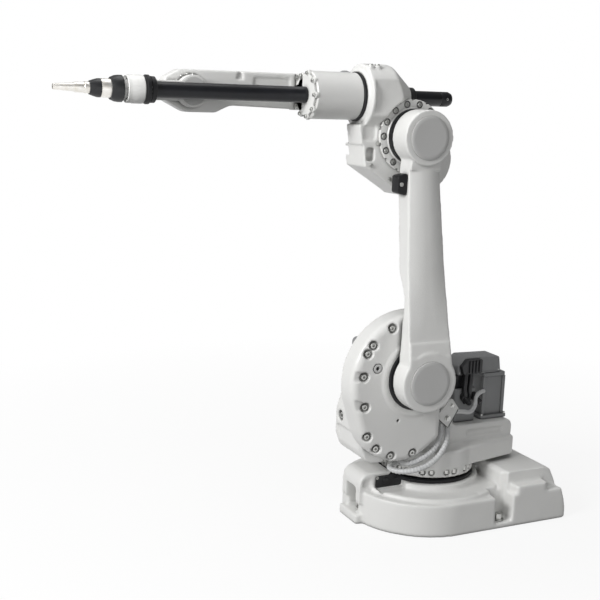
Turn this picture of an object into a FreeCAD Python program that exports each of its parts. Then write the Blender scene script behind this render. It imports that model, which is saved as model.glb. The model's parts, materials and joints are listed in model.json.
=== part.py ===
import FreeCAD, Part
import math
import os
import Sketcher

# A six-axis welding arm with a hollow wrist, standing on the floor with its forearm level.
# Frame: origin on the turning axis at the base's underside, +X forward, +Y to the arm's
# left, where the lower arm is, and +Z up. Millimetres.

os.makedirs("parts", exist_ok=True)
doc = FreeCAD.newDocument("robot_arm")
sheet = doc.addObject("Spreadsheet::Sheet", "sizes")

SIZES = {
    # joint axes
    "shoulder_x": 150, "shoulder_z": 486.5, "lower_arm_length": 700,
    "roll_rise": 110, "forearm_length": 640, "wrist_length": 200,
    # clearances
    "running_gap": 0.3, "moving_gap": 5, "joint_gap": 8,
    # base
    "base_front": 260, "base_rear": 390, "base_half_width": 242, "base_nose": 236,
    "base_wall": 102, "base_step": 12, "base_step_r": 232, "base_corner": 24,
    "pedestal_r": 166, "pedestal_rise": 20, "gearbox_r": 150, "gearbox_flange": 12,
    "spigot_r": 96,
    "tower_front": 268, "tower_half": 56, "tower_top": 160, "tower_root": 62,
    "tower_round": 34, "toe_length": 10, "toe_height": 30,
    "hole_circle_r": 245, "hole_circle_x": -20, "hole_r": 11, "foot_floor": 18,
    "pocket_half": 31, "pocket_depth": 60, "pocket_round": 8,
    "nose_pocket_half": 30, "nose_pocket_back": 26, "nose_pocket_top": 112,
    "hump_front": 165, "hump_rear": 335, "hump_half": 204, "hump_top": 164,
    "hump_round": 14, "hump_slope": 30, "ledge_front": 186, "ledge_rear": 305, "ledge_top": 128,
    "rear_lip": 14,
    # turret
    "turntable_r": 150, "flange_low": 177, "flange_top": 235, "flange_r": 152, "tail_x": 282,
    "tail_half": 92, "tail_round": 30, "deck_z": 290,
    "cheek_far": 78, "cheek_near": 92, "cheek_x": 125, "cheek_r": 125,
    "chin_x": 290, "chin_low": 206, "chin_top": 345,
    "cover_outer": 165, "cover_top_x": 160, "cover_top_z": 475, "cover_top_r": 208,
    "cover_low_x": 190, "cover_low_z": 380, "cover_low_r": 152,
    "cover_round": 22, "cover_back": 94,
    "seal_r": 99, "output_r": 72, "seal_thick": 3,
    "motor_1_x": 219, "motor_1_half": 43, "motor_1_top": 440, "motor_1_foot": 10,
    "motor_1_rim": 8, "cap_1_front": 78, "cap_1_half": 40, "cap_1_inset": 18,
    "cap_1_top": 496, "cap_1_round": 8,
    "motor_2_x": 100, "motor_2_z": 470, "motor_2_r": 56, "motor_2_length": 120,
    "motor_2_flange": 16, "motor_2_flange_r": 72, "motor_2_cap": 36, "conduit_r": 9, "lead_r": 7,
    "block_rear": 146, "block_front": 64, "block_far": 34, "block_near": 50, "block_top": 398,
    "plug_r": 17, "clamp_z": 330, "clamp_size": 54, "clamp_reach": 50,
    # lower arm
    "hub_r": 90, "hub_outer": 234, "shoulder_cap_r": 65, "cap_proud": 4,
    "arm_low_half": 72, "arm_high_half": 50, "elbow_hub_r": 79, "elbow_inner": 84,
    "elbow_outer": 160, "elbow_cap_r": 62, "arm_low_outer": 222, "arm_high_outer": 150,
    "arm_taper_end": 60, "bumper_low": 165, "bumper_high": 100, "bumper_depth": 30,
    "bumper_near": 138, "bumper_far": 102, "bumper_lean": 8,
    # upper arm
    "ring_near": 52, "ring_r": 107, "ring_thick": 10, "elbow_output_r": 71,
    "housing_far": 66, "tube_r": 93, "tube_front": 306, "tube_rear": 142, "tube_neck_r": 36,
    "hose_r": 22, "hose_length": 158, "hose_clamp_r": 31, "hose_clamp_length": 22,
    "fin_reach": 170, "fin_far": 30, "fin_low": 26,
    "motor_3_x": 22, "motor_3_z": 1112, "motor_3_r": 98, "motor_3_depth": 66,
    "motor_3_body_r": 56, "motor_3_length": 105, "motor_4_r": 46, "motor_4_length": 150,
    "motor_4_rise": 30,
    # forearm
    "roll_seal_r": 70, "roll_seal_thick": 9, "drum_r": 67, "drum_front": 449,
    "drum_flange_thick": 20, "drum_flange_r": 74, "beam_near": 64, "beam_far": 112,
    "beam_high": 59, "beam_low": 44, "beam_hub_r": 57, "cover_thick": 10,
    "main_conduit_r": 23, "flex_back": 118,
    # wrist
    "bracket_near": 32, "bracket_r": 44, "bracket_half": 27, "collar_r": 38.5,
    "bracket_ring": 13, "collar_back": 137, "collar_front": 153,
    "hub_cover_thick": 4, "hub_cover_r": 36,
    # tool
    "disc_r": 37.5, "ring_tool_r": 30, "ring_tool_length": 9, "torch_r": 35,
    "torch_length": 32, "torch_collar_r": 24.5, "torch_collar_length": 26,
    "cone_length": 29, "cone_end_r": 17.5, "neck_r": 15, "neck_length": 13,
    "nozzle_length": 80, "nozzle_r": 13.5, "nozzle_tip_r": 7.5, "nozzle_bore_r": 5,
}

for row, (alias, number) in enumerate(SIZES.items(), 1):
    sheet.set(f"A{row}", alias)
    sheet.set(f"B{row}", str(number))
    sheet.setAlias(f"B{row}", alias)
doc.recompute()


class Length:
    """A number together with the sheet expression that it comes from."""

    def __init__(self, value, text=None):
        self.value = float(value)
        self.text = text or repr(float(value))

    def __add__(self, other):
        other = length(other)
        return Length(self.value + other.value, f"({self.text} + {other.text})")

    def __sub__(self, other):
        other = length(other)
        return Length(self.value - other.value, f"({self.text} - {other.text})")

    def __mul__(self, other):
        other = length(other)
        return Length(self.value * other.value, f"({self.text} * {other.text})")

    def __truediv__(self, other):
        other = length(other)
        return Length(self.value / other.value, f"({self.text} / {other.text})")

    def __neg__(self):
        return Length(-self.value, f"(0 - {self.text})")

    def __radd__(self, other):
        return length(other) + self

    def __rsub__(self, other):
        return length(other) - self

    __rmul__ = __mul__


def length(number):
    return number if isinstance(number, Length) else Length(number)


def root(number):
    return Length(math.sqrt(number.value), f"sqrt({number.text})")


class Sizes:
    """Each alias of the sheet as an attribute."""

    def __getattr__(self, alias):
        return Length(sheet.get(alias), f"{sheet.Name}.{alias}")


s = Sizes()


def draw_outline(sketch, corners):
    """Closed outline through (x, y) or (x, y, radius) corners, each bound to the sheet."""
    count = len(corners)
    points = [FreeCAD.Vector(length(c[0]).value, length(c[1]).value, 0) for c in corners]
    radii = [length(c[2]) if len(c) > 2 else None for c in corners]
    entries, leaves, centres, turns = [], [], [], []
    for i, point in enumerate(points):
        back = (points[i - 1] - point).normalize()
        ahead = (points[(i + 1) % count] - point).normalize()
        turns.append(ahead.cross(back).z)
        if radii[i] is None:
            entries.append(point)
            leaves.append(point)
            centres.append(None)
            continue
        half = back.getAngle(ahead) / 2
        reach = radii[i].value / math.tan(half)
        entries.append(point + back * reach)
        leaves.append(point + ahead * reach)
        centres.append(point + (back + ahead).normalize() * (radii[i].value / math.sin(half)))
    first = sketch.GeometryCount
    lines = [Part.LineSegment(leaves[i], entries[(i + 1) % count]) for i in range(count)]
    sketch.addGeometry(lines, False)
    bound = []
    for i, (x, y, *_) in enumerate(corners):
        before, after = first + (i - 1) % count, first + i
        if radii[i] is None:
            sketch.addConstraint(Sketcher.Constraint("Coincident", before, 2, after, 1))
            place = (after, 1)
        else:
            spin = 1 if turns[i] > 0 else -1
            start, end = (entries[i], leaves[i]) if spin > 0 else (leaves[i], entries[i])
            circle = Part.Circle(centres[i], FreeCAD.Vector(0, 0, 1), radii[i].value)
            angles = [math.atan2(p.y - centres[i].y, p.x - centres[i].x) for p in (start, end)]
            arc = sketch.addGeometry(Part.ArcOfCircle(circle, *angles), False)
            ends = (1, 2) if spin > 0 else (2, 1)
            sketch.addConstraint(Sketcher.Constraint("Tangent", before, 2, arc, ends[0]))
            sketch.addConstraint(Sketcher.Constraint("Tangent", arc, ends[1], after, 1))
            bound.append((sketch.addConstraint(
                Sketcher.Constraint("Radius", arc, radii[i].value)), radii[i]))
            corner = sketch.addGeometry(Part.Point(points[i]), True)
            sketch.addConstraint(Sketcher.Constraint("PointOnObject", corner, 1, before))
            sketch.addConstraint(Sketcher.Constraint("PointOnObject", corner, 1, after))
            place = (corner, 1)
        for kind, number in (("DistanceX", length(x)), ("DistanceY", length(y))):
            rule = Sketcher.Constraint(kind, -1, 1, *place, number.value)
            bound.append((sketch.addConstraint(rule), number))
    bind_rules(sketch, bound)


def draw_circle(sketch, x, y, radius):
    x, y, radius = length(x), length(y), length(radius)
    centre = FreeCAD.Vector(x.value, y.value, 0)
    circle = Part.Circle(centre, FreeCAD.Vector(0, 0, 1), radius.value)
    index = sketch.addGeometry(circle, False)
    rules = [("DistanceX", (-1, 1, index, 3), x), ("DistanceY", (-1, 1, index, 3), y),
             ("Radius", (index,), radius)]
    bind_rules(sketch, [(sketch.addConstraint(Sketcher.Constraint(kind, *ends, number.value)),
                         number) for kind, ends, number in rules])


def draw_capsule(sketch, low, high):
    """Outline round two circles (x, y, radius) and their outer tangents."""
    geometry, rules = [], []
    circles = [[length(n) for n in circle] for circle in (low, high)]
    centres = [FreeCAD.Vector(x.value, y.value, 0) for x, y, _ in circles]
    radii = [r.value for _, _, r in circles]
    line = centres[1] - centres[0]
    slope = math.atan2(line.y, line.x)
    lean = math.acos((radii[0] - radii[1]) / line.Length)
    normals = [slope + lean, slope - lean]
    ends = [[c + FreeCAD.Vector(math.cos(a), math.sin(a), 0) * r for a in normals]
            for c, r in zip(centres, radii)]
    up = FreeCAD.Vector(0, 0, 1)
    geometry.append(Part.ArcOfCircle(Part.Circle(centres[0], up, radii[0]), *normals))
    geometry.append(Part.LineSegment(ends[0][1], ends[1][1]))
    geometry.append(Part.ArcOfCircle(Part.Circle(centres[1], up, radii[1]), *normals[::-1]))
    geometry.append(Part.LineSegment(ends[1][0], ends[0][0]))
    first = sketch.GeometryCount
    sketch.addGeometry(geometry, False)
    for i in range(4):
        rules.append(Sketcher.Constraint("Tangent", first + i, 2, first + (i + 1) % 4, 1))
    sketch.addConstraint(rules)
    bound = []
    for index, (x, y, radius) in zip((first, first + 2), circles):
        for kind, places, number in (("DistanceX", (-1, 1, index, 3), x),
                                     ("DistanceY", (-1, 1, index, 3), y),
                                     ("Radius", (index,), radius)):
            rule = Sketcher.Constraint(kind, *places, number.value)
            bound.append((sketch.addConstraint(rule), number))
    bind_rules(sketch, bound)


def bind_rules(sketch, bound):
    for index, number in bound:
        if "sizes." in number.text:
            sketch.setExpression(f"Constraints[{index}]", number.text)


# the plane's role, the sign of its normal along the world axis, and that axis
PLANES = {"xy": ("XY_Plane", 1), "xz": ("XZ_Plane", -1), "yz": ("YZ_Plane", 1)}
# for an axis: the sketch plane that holds it, and whether the axis is the sketch's x
AXES = {"x": ("xz", True), "y": ("yz", True), "z": ("xz", False)}


class Piece:
    """One PartDesign body: pads, pockets and turned forms in the arm's own frame."""

    def __init__(self, label):
        self.body = doc.addObject("PartDesign::Body", label)
        self.body.Label = label
        self.body.Placement = FreeCAD.Placement()
        self.count = 0

    def sketch(self, plane, level):
        self.count += 1
        role, normal = PLANES[plane]
        sketch = self.body.newObject("Sketcher::SketchObject", f"{self.body.Name}_s{self.count}")
        origin = next(o for o in self.body.Origin.OriginFeatures if o.Role == role)
        sketch.AttachmentSupport = (origin, [""])
        sketch.MapMode = "FlatFace"
        offset = length(level) * normal
        sketch.setExpression("AttachmentOffset.Base.z", offset.text)
        return sketch

    def feature(self, kind, sketch):
        feature = self.body.newObject(f"PartDesign::{kind}", f"{sketch.Name}_{kind.lower()}")
        feature.Profile = sketch
        sketch.Visibility = False
        return feature

    def extrude(self, kind, plane, shapes, low, high):
        sketch = self.sketch(plane, low)
        for shape in shapes:
            draw(sketch, shape)
        feature = self.feature(kind, sketch)
        feature.setExpression("Length", (length(high) - low).text)
        feature.Reversed = (PLANES[plane][1] < 0) == (kind == "Pad")
        doc.recompute()
        return feature

    def pad(self, plane, low, high, *shapes):
        """Add the shapes drawn on a plane, from one level to a higher one."""
        return self.extrude("Pad", plane, shapes, low, high)

    def pocket(self, plane, low, high, *shapes):
        """Cut the shapes drawn on a plane, and check that something was cut."""
        before = self.body.Shape.Volume
        feature = self.extrude("Pocket", plane, shapes, low, high)
        if self.body.Shape.Volume > before - 1:
            raise RuntimeError(f"{feature.Name} cuts nothing")
        return feature

    def turn(self, axis, place, corners):
        """Revolve a profile of (along, radius) corners round an axis through place."""
        plane, along_x = AXES[axis]
        across, rise = place
        sketch = self.sketch(plane, across if along_x else rise)
        if along_x:
            draw_outline(sketch, [(c[0], length(c[1]) + rise, *c[2:]) for c in corners])
            ends = [(0, length(rise)), (100, length(rise))]
        else:
            draw_outline(sketch, [(length(c[1]) + across, c[0], *c[2:]) for c in corners])
            ends = [(length(across), 0), (length(across), 100)]
        points = [FreeCAD.Vector(length(x).value, length(y).value, 0) for x, y in ends]
        line = sketch.addGeometry(Part.LineSegment(*points), True)
        bound = []
        for point, (x, y) in zip((1, 2), ends):
            for kind, number in (("DistanceX", length(x)), ("DistanceY", length(y))):
                rule = Sketcher.Constraint(kind, -1, 1, line, point, number.value)
                bound.append((sketch.addConstraint(rule), number))
        bind_rules(sketch, bound)
        feature = self.feature("Revolution", sketch)
        axes = [i for i in range(sketch.GeometryCount) if sketch.getConstruction(i)
                and sketch.Geometry[i].TypeId == "Part::GeomLineSegment"]
        feature.ReferenceAxis = (sketch, [f"Axis{len(axes) - 1}"])
        feature.Angle = 360
        doc.recompute()
        return feature

    def soften(self, radius, chosen):
        """Round the edges that chosen(edge) picks."""
        base = self.body.Tip
        names = [f"Edge{i}" for i, edge in enumerate(base.Shape.Edges, 1) if chosen(edge)]
        if not names:
            raise RuntimeError(f"{self.body.Label}: no edge to round")
        feature = self.body.newObject("PartDesign::Fillet", f"{base.Name}_round")
        feature.Base = (base, names)
        feature.setExpression("Radius", length(radius).text)
        doc.recompute()
        return feature


def draw(sketch, shape):
    kind, *values = shape
    {"outline": draw_outline, "circle": draw_circle, "capsule": draw_capsule}[kind](
        sketch, *values)


def rectangle(x0, y0, x1, y1, radius=None):
    """Rectangle between two corners, drawn anticlockwise, with rounded corners if asked."""
    corners = [(x0, y0), (x1, y0), (x1, y1), (x0, y1)]
    return "outline", [(*c, radius) if radius is not None else c for c in corners]


def flat_at(axis, level):
    """Test for edges that lie wholly in one plane across an axis."""
    low, high = f"{axis}Min", f"{axis}Max"
    level = length(level).value

    def lies(edge):
        box = edge.BoundBox
        return abs(getattr(box, low) - level) < 0.01 and abs(getattr(box, high) - level) < 0.01
    return lies


def cable_path(label, points):
    """Straight runs joined by arcs as large as the runs allow."""
    points = [FreeCAD.Vector(*p) for p in points]
    edges, start = [], points[0]
    for before, corner, after in zip(points, points[1:], points[2:]):
        back, ahead = before - corner, after - corner
        reach = 0.45 * min(back.Length, ahead.Length)
        half_turn = (math.pi - back.getAngle(ahead)) / 2
        bend = reach / math.tan(half_turn)
        print(f"{label}: bend radius {bend:.0f}")
        entry, leave = corner + back.normalize() * reach, corner + ahead.normalize() * reach
        middle = corner + (back + ahead).normalize() * (bend / math.cos(half_turn) - bend)
        edges.append(Part.LineSegment(start, entry).toShape())
        edges.append(Part.Arc(entry, middle, leave).toShape())
        start = leave
    edges.append(Part.LineSegment(start, points[-1]).toShape())
    return Part.Wire(edges)


def tube(label, radius, *routes):
    """Round cables, one along each route, as one piece."""
    solids = []
    for points in routes:
        path = cable_path(label, points)
        start = FreeCAD.Vector(*points[0])
        ring = Part.Circle(start, FreeCAD.Vector(*points[1]) - start, radius.value)
        solid = path.makePipeShell([Part.Wire(ring.toShape())], True, False)
        section = math.pi * radius.value ** 2
        print(f"{label}: length {path.Length:.0f}, volume {solid.Volume:.0f}, "
              f"section times length {section * path.Length:.0f}")
        solids.append(solid)
    feature = doc.addObject("Part::Feature", label)
    feature.Shape = Part.makeCompound(solids)
    feature.Placement = FreeCAD.Placement()
    feature.Label = label


# places that several pieces share
elbow_z = s.shoulder_z + s.lower_arm_length
roll_z = elbow_z + s.roll_rise
pedestal_top = s.base_wall + s.base_step + s.pedestal_rise
turntable_low = pedestal_top + s.gearbox_flange + s.moving_gap + 1
wrist_x = s.shoulder_x + s.forearm_length
collar_face = wrist_x + s.collar_front
disc_back = collar_face + s.running_gap
flange_face = wrist_x + s.wrist_length
# how far a cut runs on past the face it opens
beyond = 20


def make_base():
    casting = Piece("base_casting")
    rear, side = -s.base_rear, s.base_half_width
    casting.pad("xy", 0, s.base_wall, ("outline", [
        (rear, -side, s.base_corner), (s.base_front, -side, s.base_nose),
        (s.base_front, side, s.base_nose), (rear, side, s.base_corner)]))
    casting.pad("xy", s.base_wall, s.base_wall + s.base_step,
                ("circle", 0, 0, s.base_step_r))
    casting.pad("xy", s.base_wall + s.base_step, pedestal_top,
                ("circle", 0, 0, s.pedestal_r))
    # nose over the front foot
    tower_back = s.turntable_r + s.joint_gap
    casting.pad("xz", -s.tower_half, s.tower_half, ("outline", [
        (tower_back, s.tower_root), (s.tower_front, s.tower_root),
        (s.tower_front, s.tower_top, s.tower_round), (tower_back, s.tower_top)]))
    casting.pad("xy", 0, s.toe_height, rectangle(
        tower_back, -s.tower_half, s.tower_front + s.toe_length, s.tower_half, s.pocket_round))
    # hump for the cables at the rear, with a ledge on each side
    casting.pad("xz", -s.hump_half, s.hump_half, ("outline", [
        (-s.hump_rear - s.hump_slope, s.tower_root), (-s.hump_front, s.tower_root),
        (-s.hump_front, s.hump_top, s.hump_round), (-s.hump_rear, s.hump_top, s.hump_slope),
        (-s.hump_rear - s.hump_slope, s.base_wall)]))
    casting.pad("xy", s.tower_root, s.ledge_top,
                rectangle(-s.ledge_rear, -side, -s.ledge_front, side, s.hump_round))
    # bolt pockets and holes of the three feet
    foot_y = s.hole_circle_r * math.sin(math.radians(60))
    foot_x = s.hole_circle_x - s.hole_circle_r / 2
    for sign in (-1, 1):
        inner, outer = sign * (side - s.pocket_depth), sign * (side + beyond)
        low, high = (inner, outer) if sign > 0 else (outer, inner)
        casting.pocket("xy", s.foot_floor, s.hump_top + beyond, rectangle(
            foot_x - s.pocket_half, low, foot_x + s.pocket_half, high, s.pocket_round))
    nose_x = s.hole_circle_x + s.hole_circle_r
    casting.pocket("xy", s.toe_height, s.nose_pocket_top, rectangle(
        nose_x - s.nose_pocket_back, -s.nose_pocket_half, s.tower_front + beyond,
        s.nose_pocket_half, s.pocket_round))
    casting.pocket("xy", -beyond, s.foot_floor + beyond, ("circle", nose_x, 0, s.hole_r),
                   ("circle", foot_x, foot_y, s.hole_r), ("circle", foot_x, -foot_y, s.hole_r))
    # the rear face leans in above its lip
    casting.pocket("xz", -side - beyond, side + beyond, ("outline", [
        (rear - beyond, s.rear_lip), (rear, s.rear_lip), (rear + s.hump_slope, s.base_wall),
        (rear + s.hump_slope, s.hump_top + beyond), (rear - beyond, s.hump_top + beyond)]))

    gearbox = Piece("axis_1_gearbox")
    gearbox.turn("z", (0, 0), [
        (pedestal_top, 0), (pedestal_top, s.gearbox_r),
        (pedestal_top + s.gearbox_flange, s.gearbox_r),
        (pedestal_top + s.gearbox_flange, s.spigot_r),
        (turntable_low - s.running_gap, s.spigot_r), (turntable_low - s.running_gap, 0)])


def make_turret():
    casting = Piece("turret_casting")
    casting.pad("xy", turntable_low, s.flange_low, ("circle", 0, 0, s.turntable_r))
    casting.pad("xy", s.flange_low, s.flange_top, ("circle", 0, 0, s.flange_r))
    casting.pad("xy", s.flange_low, s.flange_top, ("outline", [
        (-s.tail_x, -s.tail_half, s.tail_round), (0, -s.flange_r + 4), (0, s.flange_r - 4),
        (-s.tail_x, s.tail_half, s.tail_round)]))
    casting.pad("xz", -s.cheek_far, s.cheek_near, ("outline", [
        (-s.tail_x + 12, s.flange_top - 10), (100, s.flange_top - 10),
        (100, s.flange_top + 5), (180, s.flange_top + 5), (215, s.chin_low, 12),
        (s.chin_x - 22, s.chin_low, 40), (s.chin_x, s.chin_low + 56, 30),
        (s.chin_x, s.chin_top, 40), (s.cheek_x + s.cheek_r * 0.98, s.shoulder_z - 10, 60),
        (s.cheek_x, s.shoulder_z + s.cheek_r - 8),
        (s.cheek_x - s.cheek_r * 0.98, s.shoulder_z - 10), (-12, s.deck_z + 90, 60),
        (-44, s.deck_z, 30), (-s.tail_x + 12, s.deck_z, 16)]))
    casting.pad("xz", -s.cheek_far, s.cheek_near,
                ("circle", s.cheek_x, s.shoulder_z, s.cheek_r))

    cover = Piece("shoulder_cover")
    cover.pad("xz", s.cheek_near, s.cover_outer, (
        "capsule", (s.cover_low_x, s.cover_low_z, s.cover_low_r),
        (s.cover_top_x, s.cover_top_z, s.cover_top_r)))
    cover.pocket("xz", s.cheek_near - beyond, s.cover_outer + beyond, rectangle(
        s.cover_top_x - s.cover_top_r - beyond, s.cover_low_z - s.cover_low_r - beyond,
        s.shoulder_x - s.cover_back, s.cover_top_z + s.cover_top_r + beyond))
    cover.soften(s.cover_round, flat_at("Y", s.cover_outer))

    seal = Piece("shoulder_seal")
    seal.pad("xz", s.cover_outer, s.cover_outer + s.seal_thick,
             ("circle", s.shoulder_x, s.shoulder_z, s.seal_r),
             ("circle", s.shoulder_x, s.shoulder_z, s.output_r))
    output = Piece("shoulder_gearbox")
    output.pad("xz", s.cover_outer, s.cover_outer + s.joint_gap - s.running_gap,
               ("circle", s.shoulder_x, s.shoulder_z, s.output_r))

    motor = Piece("axis_1_motor")
    back, front = -s.motor_1_x - s.motor_1_half, -s.motor_1_x + s.motor_1_half
    motor.pad("xy", s.deck_z, s.deck_z + s.motor_1_foot,
              rectangle(back - s.motor_1_rim, -s.motor_1_half - s.motor_1_rim,
                        front + s.motor_1_rim, s.motor_1_half + s.motor_1_rim, s.motor_1_foot))
    motor.pad("xy", s.deck_z + s.motor_1_foot, s.motor_1_top,
              rectangle(back, -s.motor_1_half, front, s.motor_1_half, 12))
    cap = Piece("axis_1_motor_cap")
    cap.pad("xy", s.motor_1_top, s.cap_1_top,
            rectangle(back + s.cap_1_inset, -s.cap_1_half, -s.cap_1_front, s.cap_1_half, 14))
    cap.soften(s.cap_1_round, flat_at("Z", s.cap_1_top))

    far = -s.cheek_far
    motor = Piece("axis_2_motor")
    motor.turn("y", (s.motor_2_x, s.motor_2_z), [
        (far, 0), (far - s.motor_2_flange - s.motor_2_length, 0),
        (far - s.motor_2_flange - s.motor_2_length, s.motor_2_r),
        (far - s.motor_2_flange, s.motor_2_r), (far - s.motor_2_flange, s.motor_2_flange_r),
        (far, s.motor_2_flange_r)])
    cap_near = far - s.motor_2_flange - s.motor_2_length
    cap = Piece("axis_2_motor_cap")
    cap.pad("xz", cap_near - s.motor_2_cap, cap_near, rectangle(
        s.motor_2_x - s.motor_2_r + 6, s.motor_2_z - s.motor_2_r + 6,
        s.motor_2_x + s.motor_2_r - 6, s.motor_2_z + s.motor_2_r - 6, 16))

    block = Piece("connector_block")
    block.pad("xz", -s.block_far, s.block_near, ("outline", [
        (-s.block_rear, s.deck_z), (-s.block_front, s.deck_z), (-s.block_front, s.block_top, 12),
        (-s.block_rear, s.block_top, 12)]))
    plugs = Piece("motor_plugs")
    plugs.pad("xy", s.block_top, s.motor_1_top, (
        "circle", s.plug_r + 7 - s.block_rear, s.block_near - s.plug_r - 13, s.plug_r))
    plugs.pad("xy", s.block_top, s.motor_1_top, (
        "circle", -s.block_front - s.plug_r - 5, s.plug_r + 1 - s.block_far, s.plug_r))

    clamp = Piece("cable_clamp")
    clamp.pad("xz", s.cheek_near, s.cheek_near + s.clamp_reach,
              rectangle(-10, s.clamp_z, s.clamp_size - 10, s.clamp_z + s.clamp_size, 8))


def make_cables():
    low = [(140, 61, 190), (199, 87, 189), (186, 146, 190), (124, 172, 200), (62, 168, 228),
           (22, 150, 270), (6, 122, 304), (6, 122, 330)]
    high = [(128, 84, 212), (168, 110, 211), (160, 146, 212), (112, 158, 228), (66, 152, 254),
            (38, 138, 284), (28, 122, 306), (28, 122, 330)]
    lead = [(-10, 116, 350), (-46, 116, 350), (-92, 100, 334), (-128, 76, 350), (-138, 60, 384),
            (-176, 48, 384)]
    tube("cable_conduits", s.conduit_r, low, high)
    tube("motor_lead", s.lead_r, lead)


def make_lower_arm():
    arm = Piece("lower_arm_casting")
    inner = s.cover_outer + s.joint_gap
    top_z, low_z = elbow_z, s.shoulder_z
    arm.pad("xz", s.elbow_inner, s.hub_outer, (
        "capsule", (s.shoulder_x, low_z + s.arm_taper_end, s.arm_low_half),
        (s.shoulder_x, top_z - s.arm_taper_end, s.arm_high_half)))
    # outer side: leans in from the shoulder hub to the elbow
    arm.pocket("yz", 0, 400, ("outline", [
        (s.hub_outer + 20, low_z + 74), (s.hub_outer, low_z + 74),
        (s.arm_low_outer, low_z + 104, 30), (s.arm_high_outer, top_z - 86),
        (s.arm_high_outer, top_z + 120), (s.hub_outer + 20, top_z + 120)]))
    # inner side: steps in once it is past the shoulder cover
    step = s.cover_top_r + 36
    arm.pocket("yz", 0, 400, ("outline", [
        (s.elbow_inner - 10, low_z - 140), (inner, low_z - 140), (inner, low_z + step, 40),
        (inner - 42, low_z + step + 70, 40), (s.elbow_inner + 4, top_z - 150, 60),
        (s.elbow_inner + 4, top_z - 60), (s.elbow_inner, top_z - 60),
        (s.elbow_inner, top_z + 10), (s.elbow_inner - 10, top_z + 10)]))
    arm.pad("xz", inner, s.hub_outer, ("circle", s.shoulder_x, low_z, s.hub_r))
    arm.pad("xz", s.elbow_inner, s.elbow_outer, ("circle", s.shoulder_x, top_z, s.elbow_hub_r))

    for label, face, level, radius in (
            ("shoulder_cap", s.hub_outer, low_z, s.shoulder_cap_r),
            ("elbow_cap", s.elbow_outer, top_z, s.elbow_cap_r)):
        cap = Piece(label)
        cap.pad("xz", face, face + s.cap_proud, ("circle", s.shoulder_x, level, radius))
        cap.soften(1.5, flat_at("Y", face + s.cap_proud))

    bumper = Piece("stop_bumper")
    slope = (s.arm_high_half - s.arm_low_half) / (s.lower_arm_length - s.arm_taper_end * 2)

    def edge(z):
        rise = z - low_z - s.arm_taper_end
        return s.shoulder_x + s.arm_low_half + slope * rise + s.running_gap

    low_end, high_end = elbow_z - s.bumper_low, elbow_z - s.bumper_high
    front = edge(low_end) + s.bumper_depth
    bumper.pad("xz", s.bumper_far, s.bumper_near, ("outline", [
        (edge(low_end), low_end), (front, low_end + s.bumper_lean, 6),
        (front, high_end - s.bumper_lean, 6), (edge(high_end), high_end)]))


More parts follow.
